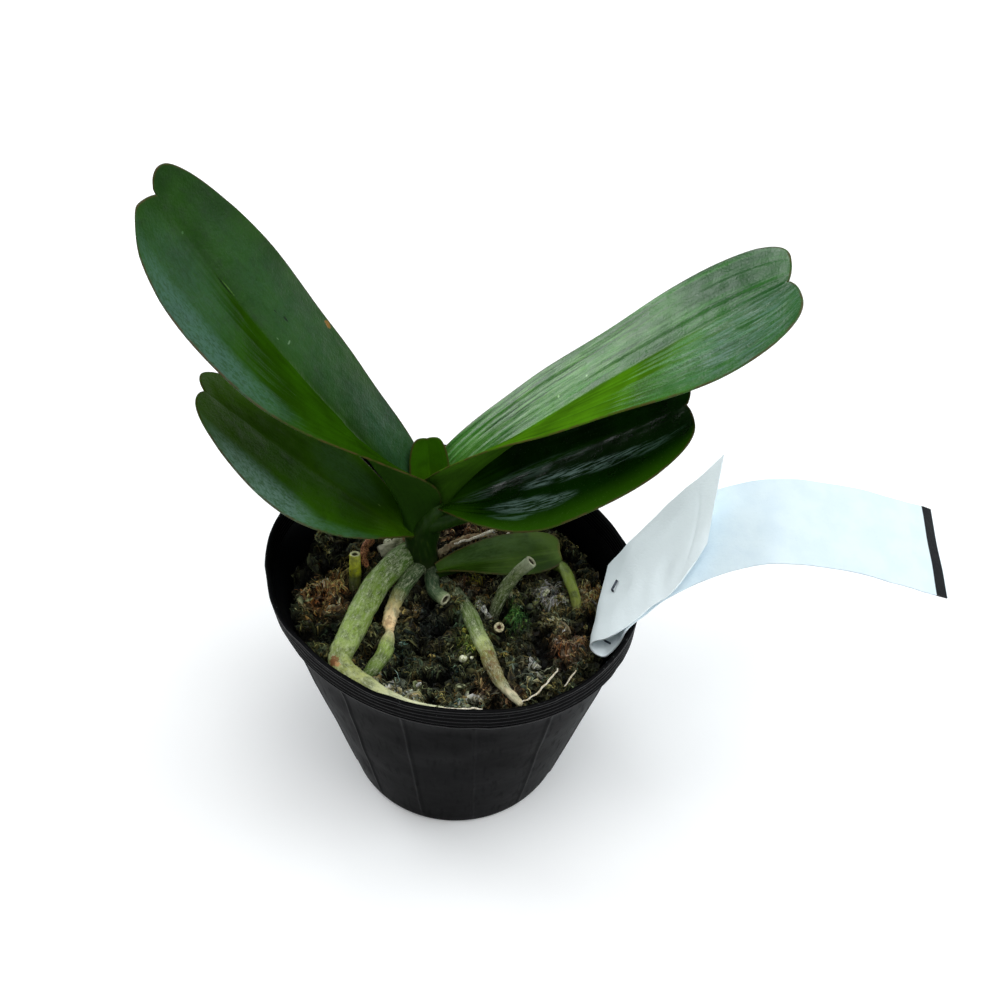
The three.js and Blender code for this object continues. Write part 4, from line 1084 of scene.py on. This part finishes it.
def make_rootlets():
    rng = np.random.default_rng(95)
    shells = []
    for thick, route in ROOTLETS:
        path = curve_at(route, np.linspace(0, 1, 40))
        path = path + 0.12 * np.stack([waves(98 + axis, 3)(path) for axis in range(3)], axis=-1)
        taper = thick * (0.45 + 0.55 * np.sin(math.pi * np.linspace(0.12, 0.9, len(path))))
        shells.append(sweep(tube(path, taper * rng.uniform(0.85, 1.15, len(path)), 8)))
    return mesh_object("rootlets_dry", *joined(shells))


def make_curl():
    path = curve_at(CURL, np.linspace(0, 1, 44))
    radius = 1.05 * np.sin(math.pi * np.linspace(0.16, 0.86, len(path))) ** 0.6
    rings = tube(path, radius, 18, 1.15, 0.8)
    rings = rings + 0.16 * waves(99, 1.5)(rings)[..., None] * unit(rings - path[:, None])
    return mesh_object("root_curl_dry", *sweep(rings))


def bit_finish(name, pale, deep):
    look = Finish(name + "_look", Specular_IOR_Level=0.3)
    grain = look.noise(0.5, 4)
    look.base(deep, pale, grain.ramp(0.4, 0.58))
    # The pit is painted dark brown: the cut's own brown and painted shade.
    look.coat((60, 30, 14), look.named("pit").ramp(0.2, 1.0))
    return look.finish(grain.ramp(0.3, 0.7, 0.45, 0.65), ((grain, 0.1),))


# Leaves

def leaf_line(leaf):
    """Places, directions and headings along the midrib, looked up by share of the length."""
    count = LEAF.line_steps
    share = np.minimum(np.arange(LEAF.line_count) / count, 1)
    heading = np.radians(leaf.heading + leaf.swing * share)
    rise = np.radians(leaf.rise - leaf.droop * share + leaf.kick * np.exp(-share / leaf.kick_fade))
    flat = np.cos(rise)
    direction = np.stack([flat * np.cos(heading), flat * np.sin(heading), np.sin(rise)], axis=-1)
    paces = (direction[1:] + direction[:-1]) * leaf.length / count / 2
    places = np.array(leaf.foot) + np.vstack([np.zeros(3), np.cumsum(paces, axis=0)])

    def at(shares):
        place = np.clip(shares * count, 0, LEAF.line_count - 1.001)
        index = place.astype(int)
        part = place - index
        spot, way = (mix(row[index], row[index + 1], part[..., None]) for row in (places, direction))
        return spot, unit(way), mix(heading[index], heading[index + 1], part)

    return at


def leaf_rows(leaf, side, blade_rows, tip_rows=30, notch_rows=12):
    """Rows along half a leaf: share at the edge, width there and share at the midrib, and the outline."""
    width = leaf.half_width * (1 + side * leaf.lean)
    foot = leaf.foot_width * (1 + side * leaf.foot_lean)
    reach = 1 + (leaf.lobe_right if side > 0 else leaf.lobe_left)
    shoulder = leaf.shoulder
    along = np.arange(blade_rows) / blade_rows
    widths = width * mix(foot, 1, np.sin(math.pi / 2 * along) ** leaf.flare)
    bend = 2 / leaf.roundness
    tip = np.linspace(0, 8, tip_rows)
    turn = math.pi / 2 * tip / 8
    tip_edge = shoulder + (reach - shoulder) * np.sin(turn) ** bend
    tip_widths = width * mix(leaf.tip_width, 1, np.clip(np.cos(turn), 0, 1) ** bend)
    notch = np.linspace(8.35, 12, notch_rows)
    turn = math.pi / 2 * (1 + (notch - 8.1) / 4.1)
    outline = (np.concatenate([shoulder * along, tip_edge]), np.concatenate([widths, tip_widths]))
    edge = np.concatenate([outline[0], 1 + (reach - 1) * np.sin(turn)])
    widths = np.concatenate([outline[1], width * leaf.tip_width * (1 + np.cos(turn))])
    rib = np.concatenate([shoulder * along, mix(shoulder, 1, np.concatenate([tip, notch]) / 13)])

    # The corner between the side of a lobe and the notch is softened.
    start = blade_rows + tip_rows // 2
    kernel = np.hanning(9)[1:-1] / np.hanning(9).sum()
    for _ in range(2):
        for lot in (edge, widths):
            lot[start:-3] = np.convolve(np.pad(lot, 3, mode="edge"), kernel, mode="valid")[start:-3]
    return edge, widths, rib, outline


def pressed_inside(spots, reach=0.8):
    """Moves what comes near the box of the CAD model softly back inside it."""
    for corner, way in ((CAD_BOX[0], 1), (CAD_BOX[1], -1)):
        bound = np.array(corner) / MM
        inside = (spots - bound) * way
        pressed = reach * np.exp(np.minimum(inside / reach - 1, 0))
        spots = bound + way * np.where(inside < reach, pressed, inside)
    return spots


def make_leaf(name, seed, fineness=1.0, crease=0.8, arch=0.5, ridge=0.07, wave=0.3, pebble=0.05):
    """A strap leaf from its CAD formula, with a soft crease, veins in relief and waves at its thin edge."""
    leaf = LEAVES[name]
    outs = np.concatenate([np.linspace(0, 0.95, 30), [0.965, 0.978, 0.988, 0.995, 1.0]])
    columns = np.concatenate([-outs[::-1], outs[1:]])[None, :]
    side, out = np.where(columns < 0, -1.0, 1.0), np.abs(columns)
    blade_rows = int(leaf.length * 0.62 * fineness)
    left, right = (leaf_rows(leaf, way, blade_rows) for way in (-1, 1))
    edge, width, rib = (np.where(side < 0, left[part][:, None], right[part][:, None]) for part in range(3))
    share = mix(rib, edge, out ** LEAF.row_bow)
    inner = np.minimum(share, 1)
    place, direction, heading = leaf_line(leaf)(share)
    across = np.stack([np.sin(heading), -np.cos(heading), np.zeros_like(heading)], axis=-1)
    up = np.cross(across, direction)
    roll = np.radians(mix(leaf.roll_foot, leaf.roll_tip, share))[..., None]
    sideways = across * np.cos(roll) + up * np.sin(roll)
    outward = up * np.cos(roll) - across * np.sin(roll)
    fold = np.radians(leaf.fold_tip + (leaf.fold_foot - leaf.fold_tip) * np.exp(-share / leaf.fold_fade))
    x = out * width
    soft = np.hypot(x, crease)
    spot = place + sideways * (side * x * np.cos(fold))[..., None]
    spot = spot + outward * (soft * np.sin(fold))[..., None]
    lean = np.sin(fold) * x / soft
    face = unit(outward * np.cos(fold)[..., None] - sideways * (side * lean)[..., None])
    outline = np.where(side < 0, np.interp(share, *left[3]), np.interp(share, *right[3]))
    across_share = np.clip(x / np.maximum(outline, 0.3), 0, 1)
    run = np.cumsum(np.linalg.norm(np.diff(spot, axis=1, prepend=spot[:, :1]), axis=-1), axis=1)
    from_edge = np.where(columns < 0, run, run[:, -1:] - run)

    rng = np.random.default_rng(seed)
    half = (side > 0).astype(int)
    body = step(0.0, 0.12, inner) * step(0.0, 1.6, from_edge)
    relief = arch * (1 - (2 * across_share - 1) ** 2) * step(0.05, 0.4, inner) * step(0.0, 0.25, 1.03 - inner)
    flat = np.stack([side * across_share * 9 + 40, inner * leaf.length / 16, np.zeros_like(inner)], axis=-1)
    patchy = step(-0.9, 0.9, waves(seed + 200, 4)(flat))
    for count in (4.2, 6.6, 9.3):
        phase = rng.uniform(0, FULL_TURN, 2)[half]
        drift = rng.uniform(-0.5, 0.5)
        line = np.cos(FULL_TURN * (count * across_share + drift * inner) + phase)
        relief = relief + ridge * line * body * (0.25 + 0.75 * patchy) * 0.6
    relief = relief + pebble * body * waves(seed + 300, 6, 30)(spot)
    flutter = rng.uniform(0, FULL_TURN, 2)[half]
    ripple = np.sin(share * leaf.length * FULL_TURN / 37 + flutter) * step(0.15, 0.4, inner)
    spot = spot + face * (relief + wave * out ** 3 * ripple)[..., None]

    keel = LEAF.keel * (1 - inner) * np.exp(-(x / 1.1) ** 2)
    thick = mix(mix(LEAF.core_at_foot, LEAF.core_at_tip, inner), 0.45, out ** LEAF.thinning) + keel
    round_off = 1 - np.sqrt(np.clip(1 - np.clip(1 - from_edge / 0.4, 0, 1) ** 2, 0, 1))
    upper = spot - face * (thick * 0.5 * round_off)[..., None]
    lower = spot - face * (thick * (1 - 0.5 * round_off))[..., None]
    back = slice(-2, 0, -1)
    blade = np.stack([side * across_share, share, from_edge], axis=-1)
    blade = np.concatenate([blade, blade[:, back]], axis=1).reshape(-1, 3)
    under = np.concatenate([np.zeros(share.shape), np.ones(share[:, back].shape)], axis=1).ravel()
    spots, faces = sweep(np.concatenate([upper, lower[:, back]], axis=1))
    low, high = (np.array(corner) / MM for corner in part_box(name))
    spots = pressed_inside(np.clip(spots, low - 0.25, high + 0.25))
    return mesh_object(name + "_blade", spots, faces, sharp=80, blade=blade, under=under)


def leaf_finish(
    name, dark, mid, glow, front, front_glow, back_glow, rough, veins, level, dull=0.0, stippling=0.035,
    mottling=0.05, spots=(), painted_sheen_streaks=(), painted_sheen_dabs=(), rim_glow=0.0, tip=(0, 0, 0), tip_share=0.0, shaded_grooves=(),
):
    """Leaf skin, by the place across from -1 to 1, the share of the length and the way to the edge.

    front_glow and back_glow say how far the bright dull foot reaches along the rib, how much less at the
    edge, and how strong it is, on the half that faces the front and on the other. Spots are ovals of marks.
    The streaked and dabbed ovals of sheen are painted highlights laid into the colour.
    """
    leaf = LEAVES[name]
    look = Finish(name + "_look", Specular_IOR_Level=level)
    across, along, edge = look.parts("blade")
    away = across.math("ABSOLUTE")
    wide = across * leaf.half_width
    lines, short, fine = (
        look.vector(wide, along * (leaf.length * squeeze), layer)
        for squeeze, layer in ((0.035, 3.7), (0.09, 9.1), (0.4, 5.3))
    )

    def oval(x, y, reach_x, reach_y):
        """The square of the distance from the middle of an oval, 1 at its edge."""
        from_x, from_y = (across - x) / reach_x, (along - y) / reach_y
        return from_x * from_x + from_y * from_y

    vein = look.noise(1.1, 3, lines, 0.6)
    broad = look.noise(3.0, 2, lines)
    patch = look.noise(12, 4)
    mottle = look.noise(2.6, 4)
    stipple = look.noise(0.55, 3)
    darker = [value * 0.6 for value in dark]
    look.base(dark, mid, patch.ramp(0.32, 0.68))
    look.coat(darker, mottle.ramp(0.5, 0.75) * 0.3)
    look.coat([min(255, value * 1.4 + 6) for value in mid], vein.ramp(0.5, 0.72) * veins)
    look.coat(darker, broad.ramp(0.52, 0.8) * veins)
    look.coat(tip, along.ramp(0.5, 1.0, 0.0, tip_share))

    on_front = (across * front).ramp(-0.04, 0.04)
    jagged = along + vein.ramp(0.3, 0.7, -0.08, 0.08)
    foot_back, foot_front = (
        (jagged + away * slope).ramp(reach + 0.12, reach - 0.12, 0.0, strength)
        for reach, slope, strength in (back_glow, front_glow)
    )
    foot = look.blend(foot_back, foot_front, on_front)
    glowing = look.mixed([value * 0.72 for value in glow], glow, (patch + vein * 0.5).ramp(0.5, 1.0))
    look.coat(glowing, foot * 0.9)
    look.coat(glow, away.ramp(0.07, 0.0) * along.ramp(0.95, 0.3) * 0.35)
    if rim_glow:
        look.coat(glow, away.ramp(0.62, 1.0) * on_front * rim_glow)
    streaks = look.noise(0.7, 5, short, 0.7).ramp(0.43, 0.62)
    pebbled = look.noise(0.5, 4, fine, 0.65).ramp(0.36, 0.62, 0.4, 1.0)
    # Painted sheen: ovals of painted highlight laid into the colour, streaked or dabbed.
    for texture, patches in ((streaks, painted_sheen_streaks), (pebbled, painted_sheen_dabs)):
        for *place, strength, sheen_shade in patches:
            look.coat(sheen_shade, texture * oval(*place).ramp(1.2, 0.0, 0.0, strength))
    # Painted shade: darker lines where grooves lie on the back half.
    if shaded_grooves:
        pitch, first, last, depth = shaded_grooves
        groove = (wide * (FULL_TURN / pitch) + broad * 5.0).math("COSINE").ramp(0.45, 1.0)
        belt = away.ramp(first, first + 0.15) * away.ramp(last, last - 0.1)
        belt = belt * along.ramp(0.06, 0.2) * along.ramp(0.95, 0.5, 0.2, 1.0) * (on_front * -0.6 + 1.0)
        look.coat(darker, groove * belt * look.noise(2.2, 3, short).ramp(0.38, 0.56) * depth)
    look.coat((76, 60, 36), edge.ramp(0.65, 0.2) * mottle.ramp(0.35, 0.6, 0.2, 0.75))
    for *place, spot in spots:
        look.coat(spot, (oval(*place) + stipple.ramp(0, 1, -0.6, 0.6)).ramp(1.0, 0.3))
    under = look.named("under")
    look.coat((52, 84, 34), under * 0.35)
    roughness = stipple.ramp(0.3, 0.7, rough - 0.04, rough + 0.06) + under * 0.12
    calm = (foot * 1.15).math("MINIMUM", 1.0)
    shine = look.blend(mottle.ramp(0.3, 0.7, level * 0.8, level * 1.2), dull, calm)
    heights = (
        (broad, 0.16 * veins), (vein, 0.1 * veins), (mottle, mottling), (stipple, stippling),
        (look.noise(0.22, 2), 0.008),
    )
    return look.finish(roughness, heights, shine)


# Label and staple

def make_label(rows=360, columns=34):
    near, far = (curve_at([pair[side] for pair in LABEL], np.linspace(0, 1, rows)) for side in (0, 1))
    across = np.linspace(0, 1, columns)
    sheet = mix(near[:, None], far[:, None], across[:, None])
    face = unit(np.cross(np.gradient(sheet, axis=0), np.gradient(sheet, axis=1)))
    paces = np.linalg.norm(np.diff((near + far) / 2, axis=0), axis=1)
    run = np.concatenate([[0], np.cumsum(paces)])[:, None]
    paper = np.stack(np.broadcast_arrays(run, across * LABEL_WIDTH, run[-1] - run), axis=-1)
    along, over, _ = np.moveaxis(paper, -1, 0)
    flat = paper * (1, 1, 0)
    buckle = 0.2 * waves(71, 15)(flat) + 0.14 * step(62, 30, along) * waves(72, 9)(flat) * step(0, 10, along)
    crescent = 7.2 + 2.2 * ((over - 15) / 11) ** 2
    ridge = np.exp(-((along - crescent) / 0.7) ** 2) * step(2, 7, over) * step(23, 17, over)
    sheet = sheet + face * (buckle + 0.3 * ridge)[..., None]
    half = face * LABEL_THICKNESS / 2
    rings = np.concatenate([sheet - half, (sheet + half)[:, ::-1]], axis=1)
    paper = np.concatenate([paper, paper[:, ::-1]], axis=1).reshape(-1, 3)
    return mesh_object("label_sheet", *sweep(rings), sharp=40, paper=paper)


def label_finish():
    """Pale paper, with the front flap painted brighter as painted light, and a dark bar at the far end."""
    look = Finish("label_paper_fibre", Specular_IOR_Level=0.25)
    along, across, from_end = look.parts("paper")
    fibres = look.noise(0.5, 4)
    look.base((222, 238, 247), (228, 243, 250), look.noise(7, 3).ramp(0.35, 0.65))
    look.coat((200, 217, 228), fibres.ramp(0.58, 0.8) * 0.2)
    # Painted light: the front flap is painted whiter than the rest.
    look.coat((242, 252, 255), along.ramp(62, 50) * 0.95)
    bar_width = across.ramp(0, LABEL_WIDTH, 3.3, 4.4)
    look.coat((5, 7, 11), (from_end - bar_width).ramp(0.1, -0.1) * from_end.ramp(0.1, 0.2))
    return look.finish(fibres.ramp(0.3, 0.7, 0.5, 0.62), ((fibres, 0.05), (look.noise(4, 3), 0.2)))


def make_staple():
    """The staple's wire, rounded at each bend and slightly flat."""
    route = np.array(STAPLE, float)
    path = [route[0]]
    for before, here, after in zip(route, route[1:], route[2:]):
        start, end = (here + unit(other - here) * STAPLE_BEND for other in (before, after))
        for share in np.linspace(0, 1, 7):
            path.append((1 - share) ** 2 * start + 2 * share * (1 - share) * here + share ** 2 * end)
    rings = tube(np.array([*path, route[-1]]), STAPLE_RADIUS, 12, 0.8)
    return mesh_object("staple_wire_bent", *sweep(rings), sharp=50)


def staple_finish():
    look = Finish("staple_wire_dark", Metallic=0.9)
    scratch = look.noise(0.3, 3)
    look.base((44, 50, 58), (92, 98, 108), scratch.ramp(0.4, 0.7))
    return look.finish(scratch.ramp(0.3, 0.7, 0.3, 0.5), ((scratch, 0.02),))


# Floor, light and camera

FLOOR = Sizes(half=6000, count=41, drop=0.05)
CAMERA = Sizes(place=(12.5, -230.458, 378.822), tilt=40, lens=54, sensor=36)
LIGHT_TARGET = (0.0, 0.01, 0.1)
# Brightness of the room from below to overhead.
ROOM_GLOW = ((0.0, 0.3), (0.45, 0.14), (0.55, 0.07), (0.72, 0.1), (0.95, 0.9))


def make_floor():
    """A white floor that brightens far from the plant, so that side views end in white as well."""
    line = np.linspace(-FLOOR.half, FLOOR.half, FLOOR.count)
    spots = np.stack(np.meshgrid(line, line, [-FLOOR.drop], indexing="ij"), axis=-1).reshape(-1, 3)
    faces = [face[::-1] for face in grid_faces(FLOOR.count, FLOOR.count, closed=False)]
    floor = mesh_object("floor", spots, faces)
    look = Finish("floor_pale", Specular_IOR_Level=0.2, Emission_Color=(1, 1, 1, 1))
    far = look.add("VectorMath", {0: look.place}, "Value", operation="LENGTH")
    look.join(far.ramp(450, 1500, 0.1, 0.8), "Emission Strength")
    look.base((250, 250, 250), (255, 255, 255), look.noise(60, 2).ramp(0.3, 0.7))
    floor.data.materials.append(look.finish(look.noise(3, 2).ramp(0.3, 0.7, 0.75, 0.85)))


def soft_light(name, azimuth, elevation, distance, width, height, power, tint=(1.0, 1.0, 1.0)):
    """An area light that looks at the plant, in degrees and metres. Azimuth is from +Y towards +X."""
    light = bpy.data.lights.new(name, "AREA")
    light.shape = "RECTANGLE"
    light.size = width
    light.size_y = height
    light.energy = power
    light.color = tint
    lamp = linked(name, light)
    turn, rise = math.radians(azimuth), math.radians(elevation)
    way = Vector((math.cos(rise) * math.sin(turn), math.cos(rise) * math.cos(turn), math.sin(rise)))
    lamp.location = Vector(LIGHT_TARGET) + way * distance
    lamp.rotation_euler = (-way).to_track_quat("-Z", "Y").to_euler()
    lamp.visible_camera = False


def make_room():
    """A room that is dim at eye level and bright overhead, and plain white to the camera."""
    world = bpy.data.worlds.new("room")
    bpy.context.scene.world = world
    world.use_nodes = True
    room = Nodes(world.node_tree)
    up = room.add("SeparateXYZ", {0: room.add("TexCoord", {}, "Generated")}, 2)
    share = room.add("MapRange", {"Value": up, "From Min": -1.0})
    glow = room.stops(
        share, [(place, (value * 0.95, value * 0.98, value, 1.0)) for place, value in ROOM_GLOW], "EASE",
    )
    seen = room.mixed(glow, (255, 255, 255), room.add("LightPath", {}, "Is Camera Ray"))
    room.tree.links.new(seen.socket, room.tree.nodes["Background"].inputs["Color"])


def make_camera():
    camera = bpy.data.cameras.new("camera")
    camera.lens = CAMERA.lens
    camera.sensor_width = CAMERA.sensor
    camera.clip_start = 0.01
    eye = linked("camera", camera)
    eye.location = Vector(CAMERA.place) * MM
    eye.rotation_euler = (math.radians(CAMERA.tilt), 0, 0)
    bpy.context.scene.camera = eye


# Assembly

make_floor()
make_room()
bpy.context.scene.view_settings.view_transform = "Standard"
soft_light("window", -49, 14, 0.9, 0.56, 0.32, 4.0, (0.94, 0.98, 1.0))
soft_light("side", 92, 22, 0.9, 0.36, 0.34, 1.3, (0.85, 0.96, 1.0))
soft_light("above", 100, 76, 1.1, 0.9, 0.9, 8.0)
make_camera()

present(make_pot(), "pot_plastic", pot_finish(), "pot")
present(make_stem(), "stem_green", stem_finish(), "stem")

ROOT_LOOKS = {
    "root_thick": dict(
        places=(
            (0.0, (34, 64, 8)), (0.12, (62, 92, 18)), (0.25, (104, 130, 42)), (0.42, (134, 156, 74)),
            (0.5, (150, 162, 92)), (0.57, (150, 156, 84)), (0.68, (168, 174, 112)), (0.78, (214, 214, 172)),
            (1.0, (220, 222, 188)),
        ),
        speckle=0.8,
        marks=((-28.2, -24.4, 71.6, 1.7, (116, 76, 42)), (-27.2, -25.4, 72.2, 0.9, (176, 130, 84))),
    ),
    "root_pinched": dict(
        # The first colours are darker: painted shadow under the leaves.
        places=(
            (0.0, (26, 48, 14)), (0.26, (52, 78, 28)), (0.34, (150, 140, 84)), (0.42, (236, 208, 158)),
            (0.52, (240, 204, 150)), (0.6, (210, 200, 150)), (0.72, (128, 150, 62)), (1.0, (58, 88, 20)),
        ),
        speckle=0.65, brown=((0.46, 0.03, 0.45), (0.545, 0.012, 0.6)),
    ),
    "root_front": dict(
        places=(
            (0.0, (30, 46, 18)), (0.25, (48, 66, 28)), (0.4, (98, 122, 52)), (0.5, (168, 180, 112)),
            (0.6, (128, 128, 62)), (0.7, (112, 92, 52)), (0.82, (122, 118, 70)), (0.92, (216, 202, 168)),
            (1.0, (196, 184, 150)),
        ),
        speckle=1.0, brown=((0.62, 0.03, 0.6), (0.7, 0.015, 0.5), (0.79, 0.02, 0.5)),
    ),
    "root_stub_hollow": dict(
        places=((0.0, (40, 44, 20)), (0.35, (66, 84, 28)), (0.75, (110, 130, 72)), (1.0, (186, 196, 160))),
        speckle=1.0,
    ),
    "root_right": dict(
        places=((0.0, (60, 76, 20)), (0.4, (104, 126, 44)), (0.8, (134, 150, 56)), (1.0, (168, 172, 96))),
        speckle=0.3, gloss=0.42,
    ),
    "root_stub_centre": dict(
        places=((0.0, (20, 42, 14)), (0.6, (36, 62, 34)), (0.85, (52, 78, 44)), (1.0, (120, 136, 96))),
        speckle=0.4,
    ),
    "root_stub_upright": dict(
        places=((0.0, (46, 50, 24)), (0.45, (96, 104, 36)), (0.55, (190, 198, 30)), (1.0, (212, 214, 84))),
        speckle=0.25,
    ),
    "root_back_left": dict(
        places=((0.0, (82, 84, 52)), (0.5, (112, 114, 80)), (0.8, (176, 172, 146)), (1.0, (204, 198, 176))),
        speckle=0.7, brown=((0.35, 0.12, 0.7),),
    ),
    "root_back_right": dict(
        places=((0.0, (120, 104, 76)), (0.5, (150, 130, 96)), (1.0, (120, 96, 66))),
        speckle=0.5, brown=((0.6, 0.16, 0.7), (0.25, 0.1, 0.5)),
    ),
}
for root_name, root_route in ROOTS.items():
    root_slot = "root_dry" if root_name in ("root_back_left", "root_back_right") else "root_green"
    root_look = root_finish(root_name, **ROOT_LOOKS[root_name])
    present(make_root(root_name, root_route), root_slot, root_look, root_name)

present(make_moss_bed(), "moss_old", moss_finish("moss_bed_look", 0.7, 0.95, (30, 34, 24)), "moss")
strand_finish = moss_finish("moss_strand_look", 0.4, 0.7, (96, 104, 82))
STRANDS = {
    "moss_leaves_low": dict(
        count=2750, seed=61, length=(4, 9), width=(0.5, 1.1), lift=(0.3, 1.6), sink=(0.1, 1.3), curl=2.2,
        tone=0.9, deep=0.45, corners=CUPPED, knots=9, gather=0.7,
    ),
    "moss_leaves_top": dict(
        count=3700, seed=63, length=(2.2, 5), width=(0.25, 0.6), lift=(0.3, 1.5), sink=(-0.1, 0.9), curl=2.8,
        tone=1.2, deep=0.45, corners=CUPPED,
    ),
    "moss_threads": dict(
        count=3600, seed=65, length=(2, 6), width=(0.06, 0.15), lift=(0.4, 1.8), sink=(-0.4, 0.6), curl=2.6,
        tone=1.6, deep=0.8, corners=RIDGED, gather=0.6,
    ),
}
for strand_name, strand in STRANDS.items():
    present(moss_strands(strand_name, **strand), "moss_old", strand_finish)
present(make_crumbs(), "moss_old", strand_finish)
# What makes each bit, and its pale and deep colour.
BITS = (
    (make_beads, (226, 226, 200), (150, 156, 112)),
    (make_cut_ring, (196, 186, 150), (120, 116, 80)),
    (make_rootlets, (236, 230, 212), (196, 182, 152)),
    (make_curl, (188, 128, 90), (112, 66, 40)),
)
for make_bit, *bit_colours in BITS:
    bit = make_bit()
    present(bit, "moss_old", bit_finish(bit.name, *bit_colours))

LEAF_BUILDS = {
    "leaf_upper_left": dict(seed=81, ridge=0.015, pebble=0.06),
    "leaf_upper_right": dict(seed=82, ridge=0.1, pebble=0.04),
    "leaf_lower_left": dict(seed=83, ridge=0.02, wave=0.2),
    "leaf_lower_right": dict(seed=84, ridge=0.04, wave=0.2),
    "leaf_centre": dict(seed=85, ridge=0.01, wave=0.1, arch=0.2, crease=0.5, fineness=2.5, pebble=0.02),
    "leaf_basal": dict(seed=86, ridge=0.02, wave=0.1, arch=0.2, crease=0.5, fineness=1.8, pebble=0.03),
}
# The streaked and dabbed ovals of sheen below are painted highlights in the leaves' colour.
LEAF_LOOKS = {
    "leaf_upper_left": dict(
        dark=(24, 54, 14), mid=(36, 72, 18), glow=(38, 76, 2), front=-1, front_glow=(0.8, 0.27, 1.0),
        back_glow=(0.5, 1.1, 0.5), rough=0.34, veins=0.08, level=0.12, stippling=0.1, mottling=0.16,
        spots=(
            (0.93, 0.525, 0.05, 0.014, (128, 92, 34)), (-0.01, 0.78, 0.012, 0.03, (14, 30, 8)),
            (0.015, 0.772, 0.01, 0.024, (62, 96, 36)), (-0.02, 0.915, 0.03, 0.003, (60, 96, 52)),
            (0.39, 0.63, 0.016, 0.01, (12, 30, 12)), (0.2, 0.592, 0.04, 0.003, (90, 122, 84)),
            (0.1, 0.62, 0.01, 0.004, (80, 112, 72)), (0.34, 0.66, 0.01, 0.006, (14, 34, 14)),
        ),
        painted_sheen_dabs=(
            (-0.86, 0.76, 0.26, 0.24, 0.45, (86, 122, 114)), (-0.5, 0.85, 0.5, 0.16, 0.3, (58, 94, 76)),
            (0.5, 0.55, 0.5, 0.4, 0.3, (52, 92, 62)), (0.6, 0.2, 0.5, 0.2, 0.35, (62, 102, 80)),
        ),
    ),
    "leaf_upper_right": dict(
        dark=(36, 82, 26), mid=(56, 112, 38), glow=(74, 124, 8), front=1, front_glow=(0.77, 0.12, 1.0),
        back_glow=(0.2, 0.2, 0.7), rough=0.26, veins=0.45, level=0.2, stippling=0.06, mottling=0.015,
        tip=(24, 66, 34), tip_share=0.55, shaded_grooves=(1.9, 0.3, 0.98, 0.75),
        painted_sheen_streaks=((0.5, 0.88, 0.6, 0.2, 0.4, (118, 150, 140)), (-0.5, 0.4, 0.6, 0.4, 0.35, (140, 184, 112))),
        spots=((-0.24, 0.42, 0.03, 0.003, (150, 190, 130)), (-0.3, 0.5, 0.02, 0.003, (150, 190, 130))),
    ),
    "leaf_lower_left": dict(
        dark=(40, 78, 2), mid=(54, 98, 6), glow=(58, 92, 4), front=-1, front_glow=(0.35, 0.3, 0.6),
        back_glow=(1.4, 0.9, 0.4), rough=0.3, veins=0.1, level=0.06, stippling=0.07, mottling=0.12,
        spots=((0.26, 0.19, 0.02, 0.008, (90, 120, 60)),), tip=(70, 86, 24), tip_share=0.25,
        painted_sheen_dabs=(
            (-0.88, 0.7, 0.34, 0.3, 0.75, (122, 156, 144)), (0.42, 0.36, 0.45, 0.2, 0.4, (80, 116, 80)),
            (-0.98, 0.38, 0.24, 0.24, 0.4, (86, 126, 108)),
        ),
    ),
    "leaf_lower_right": dict(
        dark=(4, 26, 1), mid=(12, 42, 2), glow=(50, 96, 4), front=1, front_glow=(0.16, 0.1, 0.8),
        back_glow=(0.22, 0.1, 0.6), rough=0.22, veins=0.12, level=0.12, dull=0.05, rim_glow=0.6,
        painted_sheen_streaks=(
            (0.28, 0.47, 0.1, 0.14, 1.0, (128, 154, 148)), (0.35, 0.6, 0.09, 0.14, 1.0, (134, 160, 154)),
            (0.42, 0.74, 0.09, 0.14, 0.8, (120, 148, 140)), (0.5, 0.88, 0.09, 0.12, 0.5, (100, 130, 118)),
            (0.56, 0.33, 0.13, 0.14, 0.7, (118, 146, 138)), (0.64, 0.44, 0.1, 0.13, 0.7, (128, 156, 148)),
            (0.74, 0.3, 0.08, 0.1, 0.5, (96, 128, 112)),
            (0.05, 0.36, 0.12, 0.3, 0.6, (100, 126, 114)), (0.2, 0.14, 0.14, 0.1, 0.5, (110, 136, 124)),
        ),
    ),
    "leaf_centre": dict(
        dark=(44, 88, 4), mid=(58, 106, 8), glow=(74, 124, 4), front=1, front_glow=(0.6, 0.1, 0.6),
        back_glow=(0.6, 0.1, 0.6), rough=0.34, veins=0.08, level=0.14, dull=0.05,
    ),
    "leaf_basal": dict(
        dark=(42, 68, 12), mid=(88, 116, 46), glow=(44, 76, 4), front=1, front_glow=(0.45, 0.1, 1.0),
        back_glow=(0.45, 0.1, 0.9), rough=0.34, veins=0.12, level=0.16, dull=0.05,
        spots=((0.1, 1.0, 0.8, 0.022, (104, 112, 52)),),
        painted_sheen_dabs=((-0.5, 0.5, 0.6, 0.45, 0.4, (98, 128, 82)),),
    ),
}
for leaf_name, build in LEAF_BUILDS.items():
    leaf_slot = "leaf_young" if leaf_name == "leaf_centre" else "leaf_green"
    leaf_look = leaf_finish(leaf_name, **LEAF_LOOKS[leaf_name])
    present(make_leaf(leaf_name, **build), leaf_slot, leaf_look, leaf_name)

present(make_label(), "label_paper", label_finish(), "label")
present(make_staple(), "staple_wire", staple_finish(), "staple")
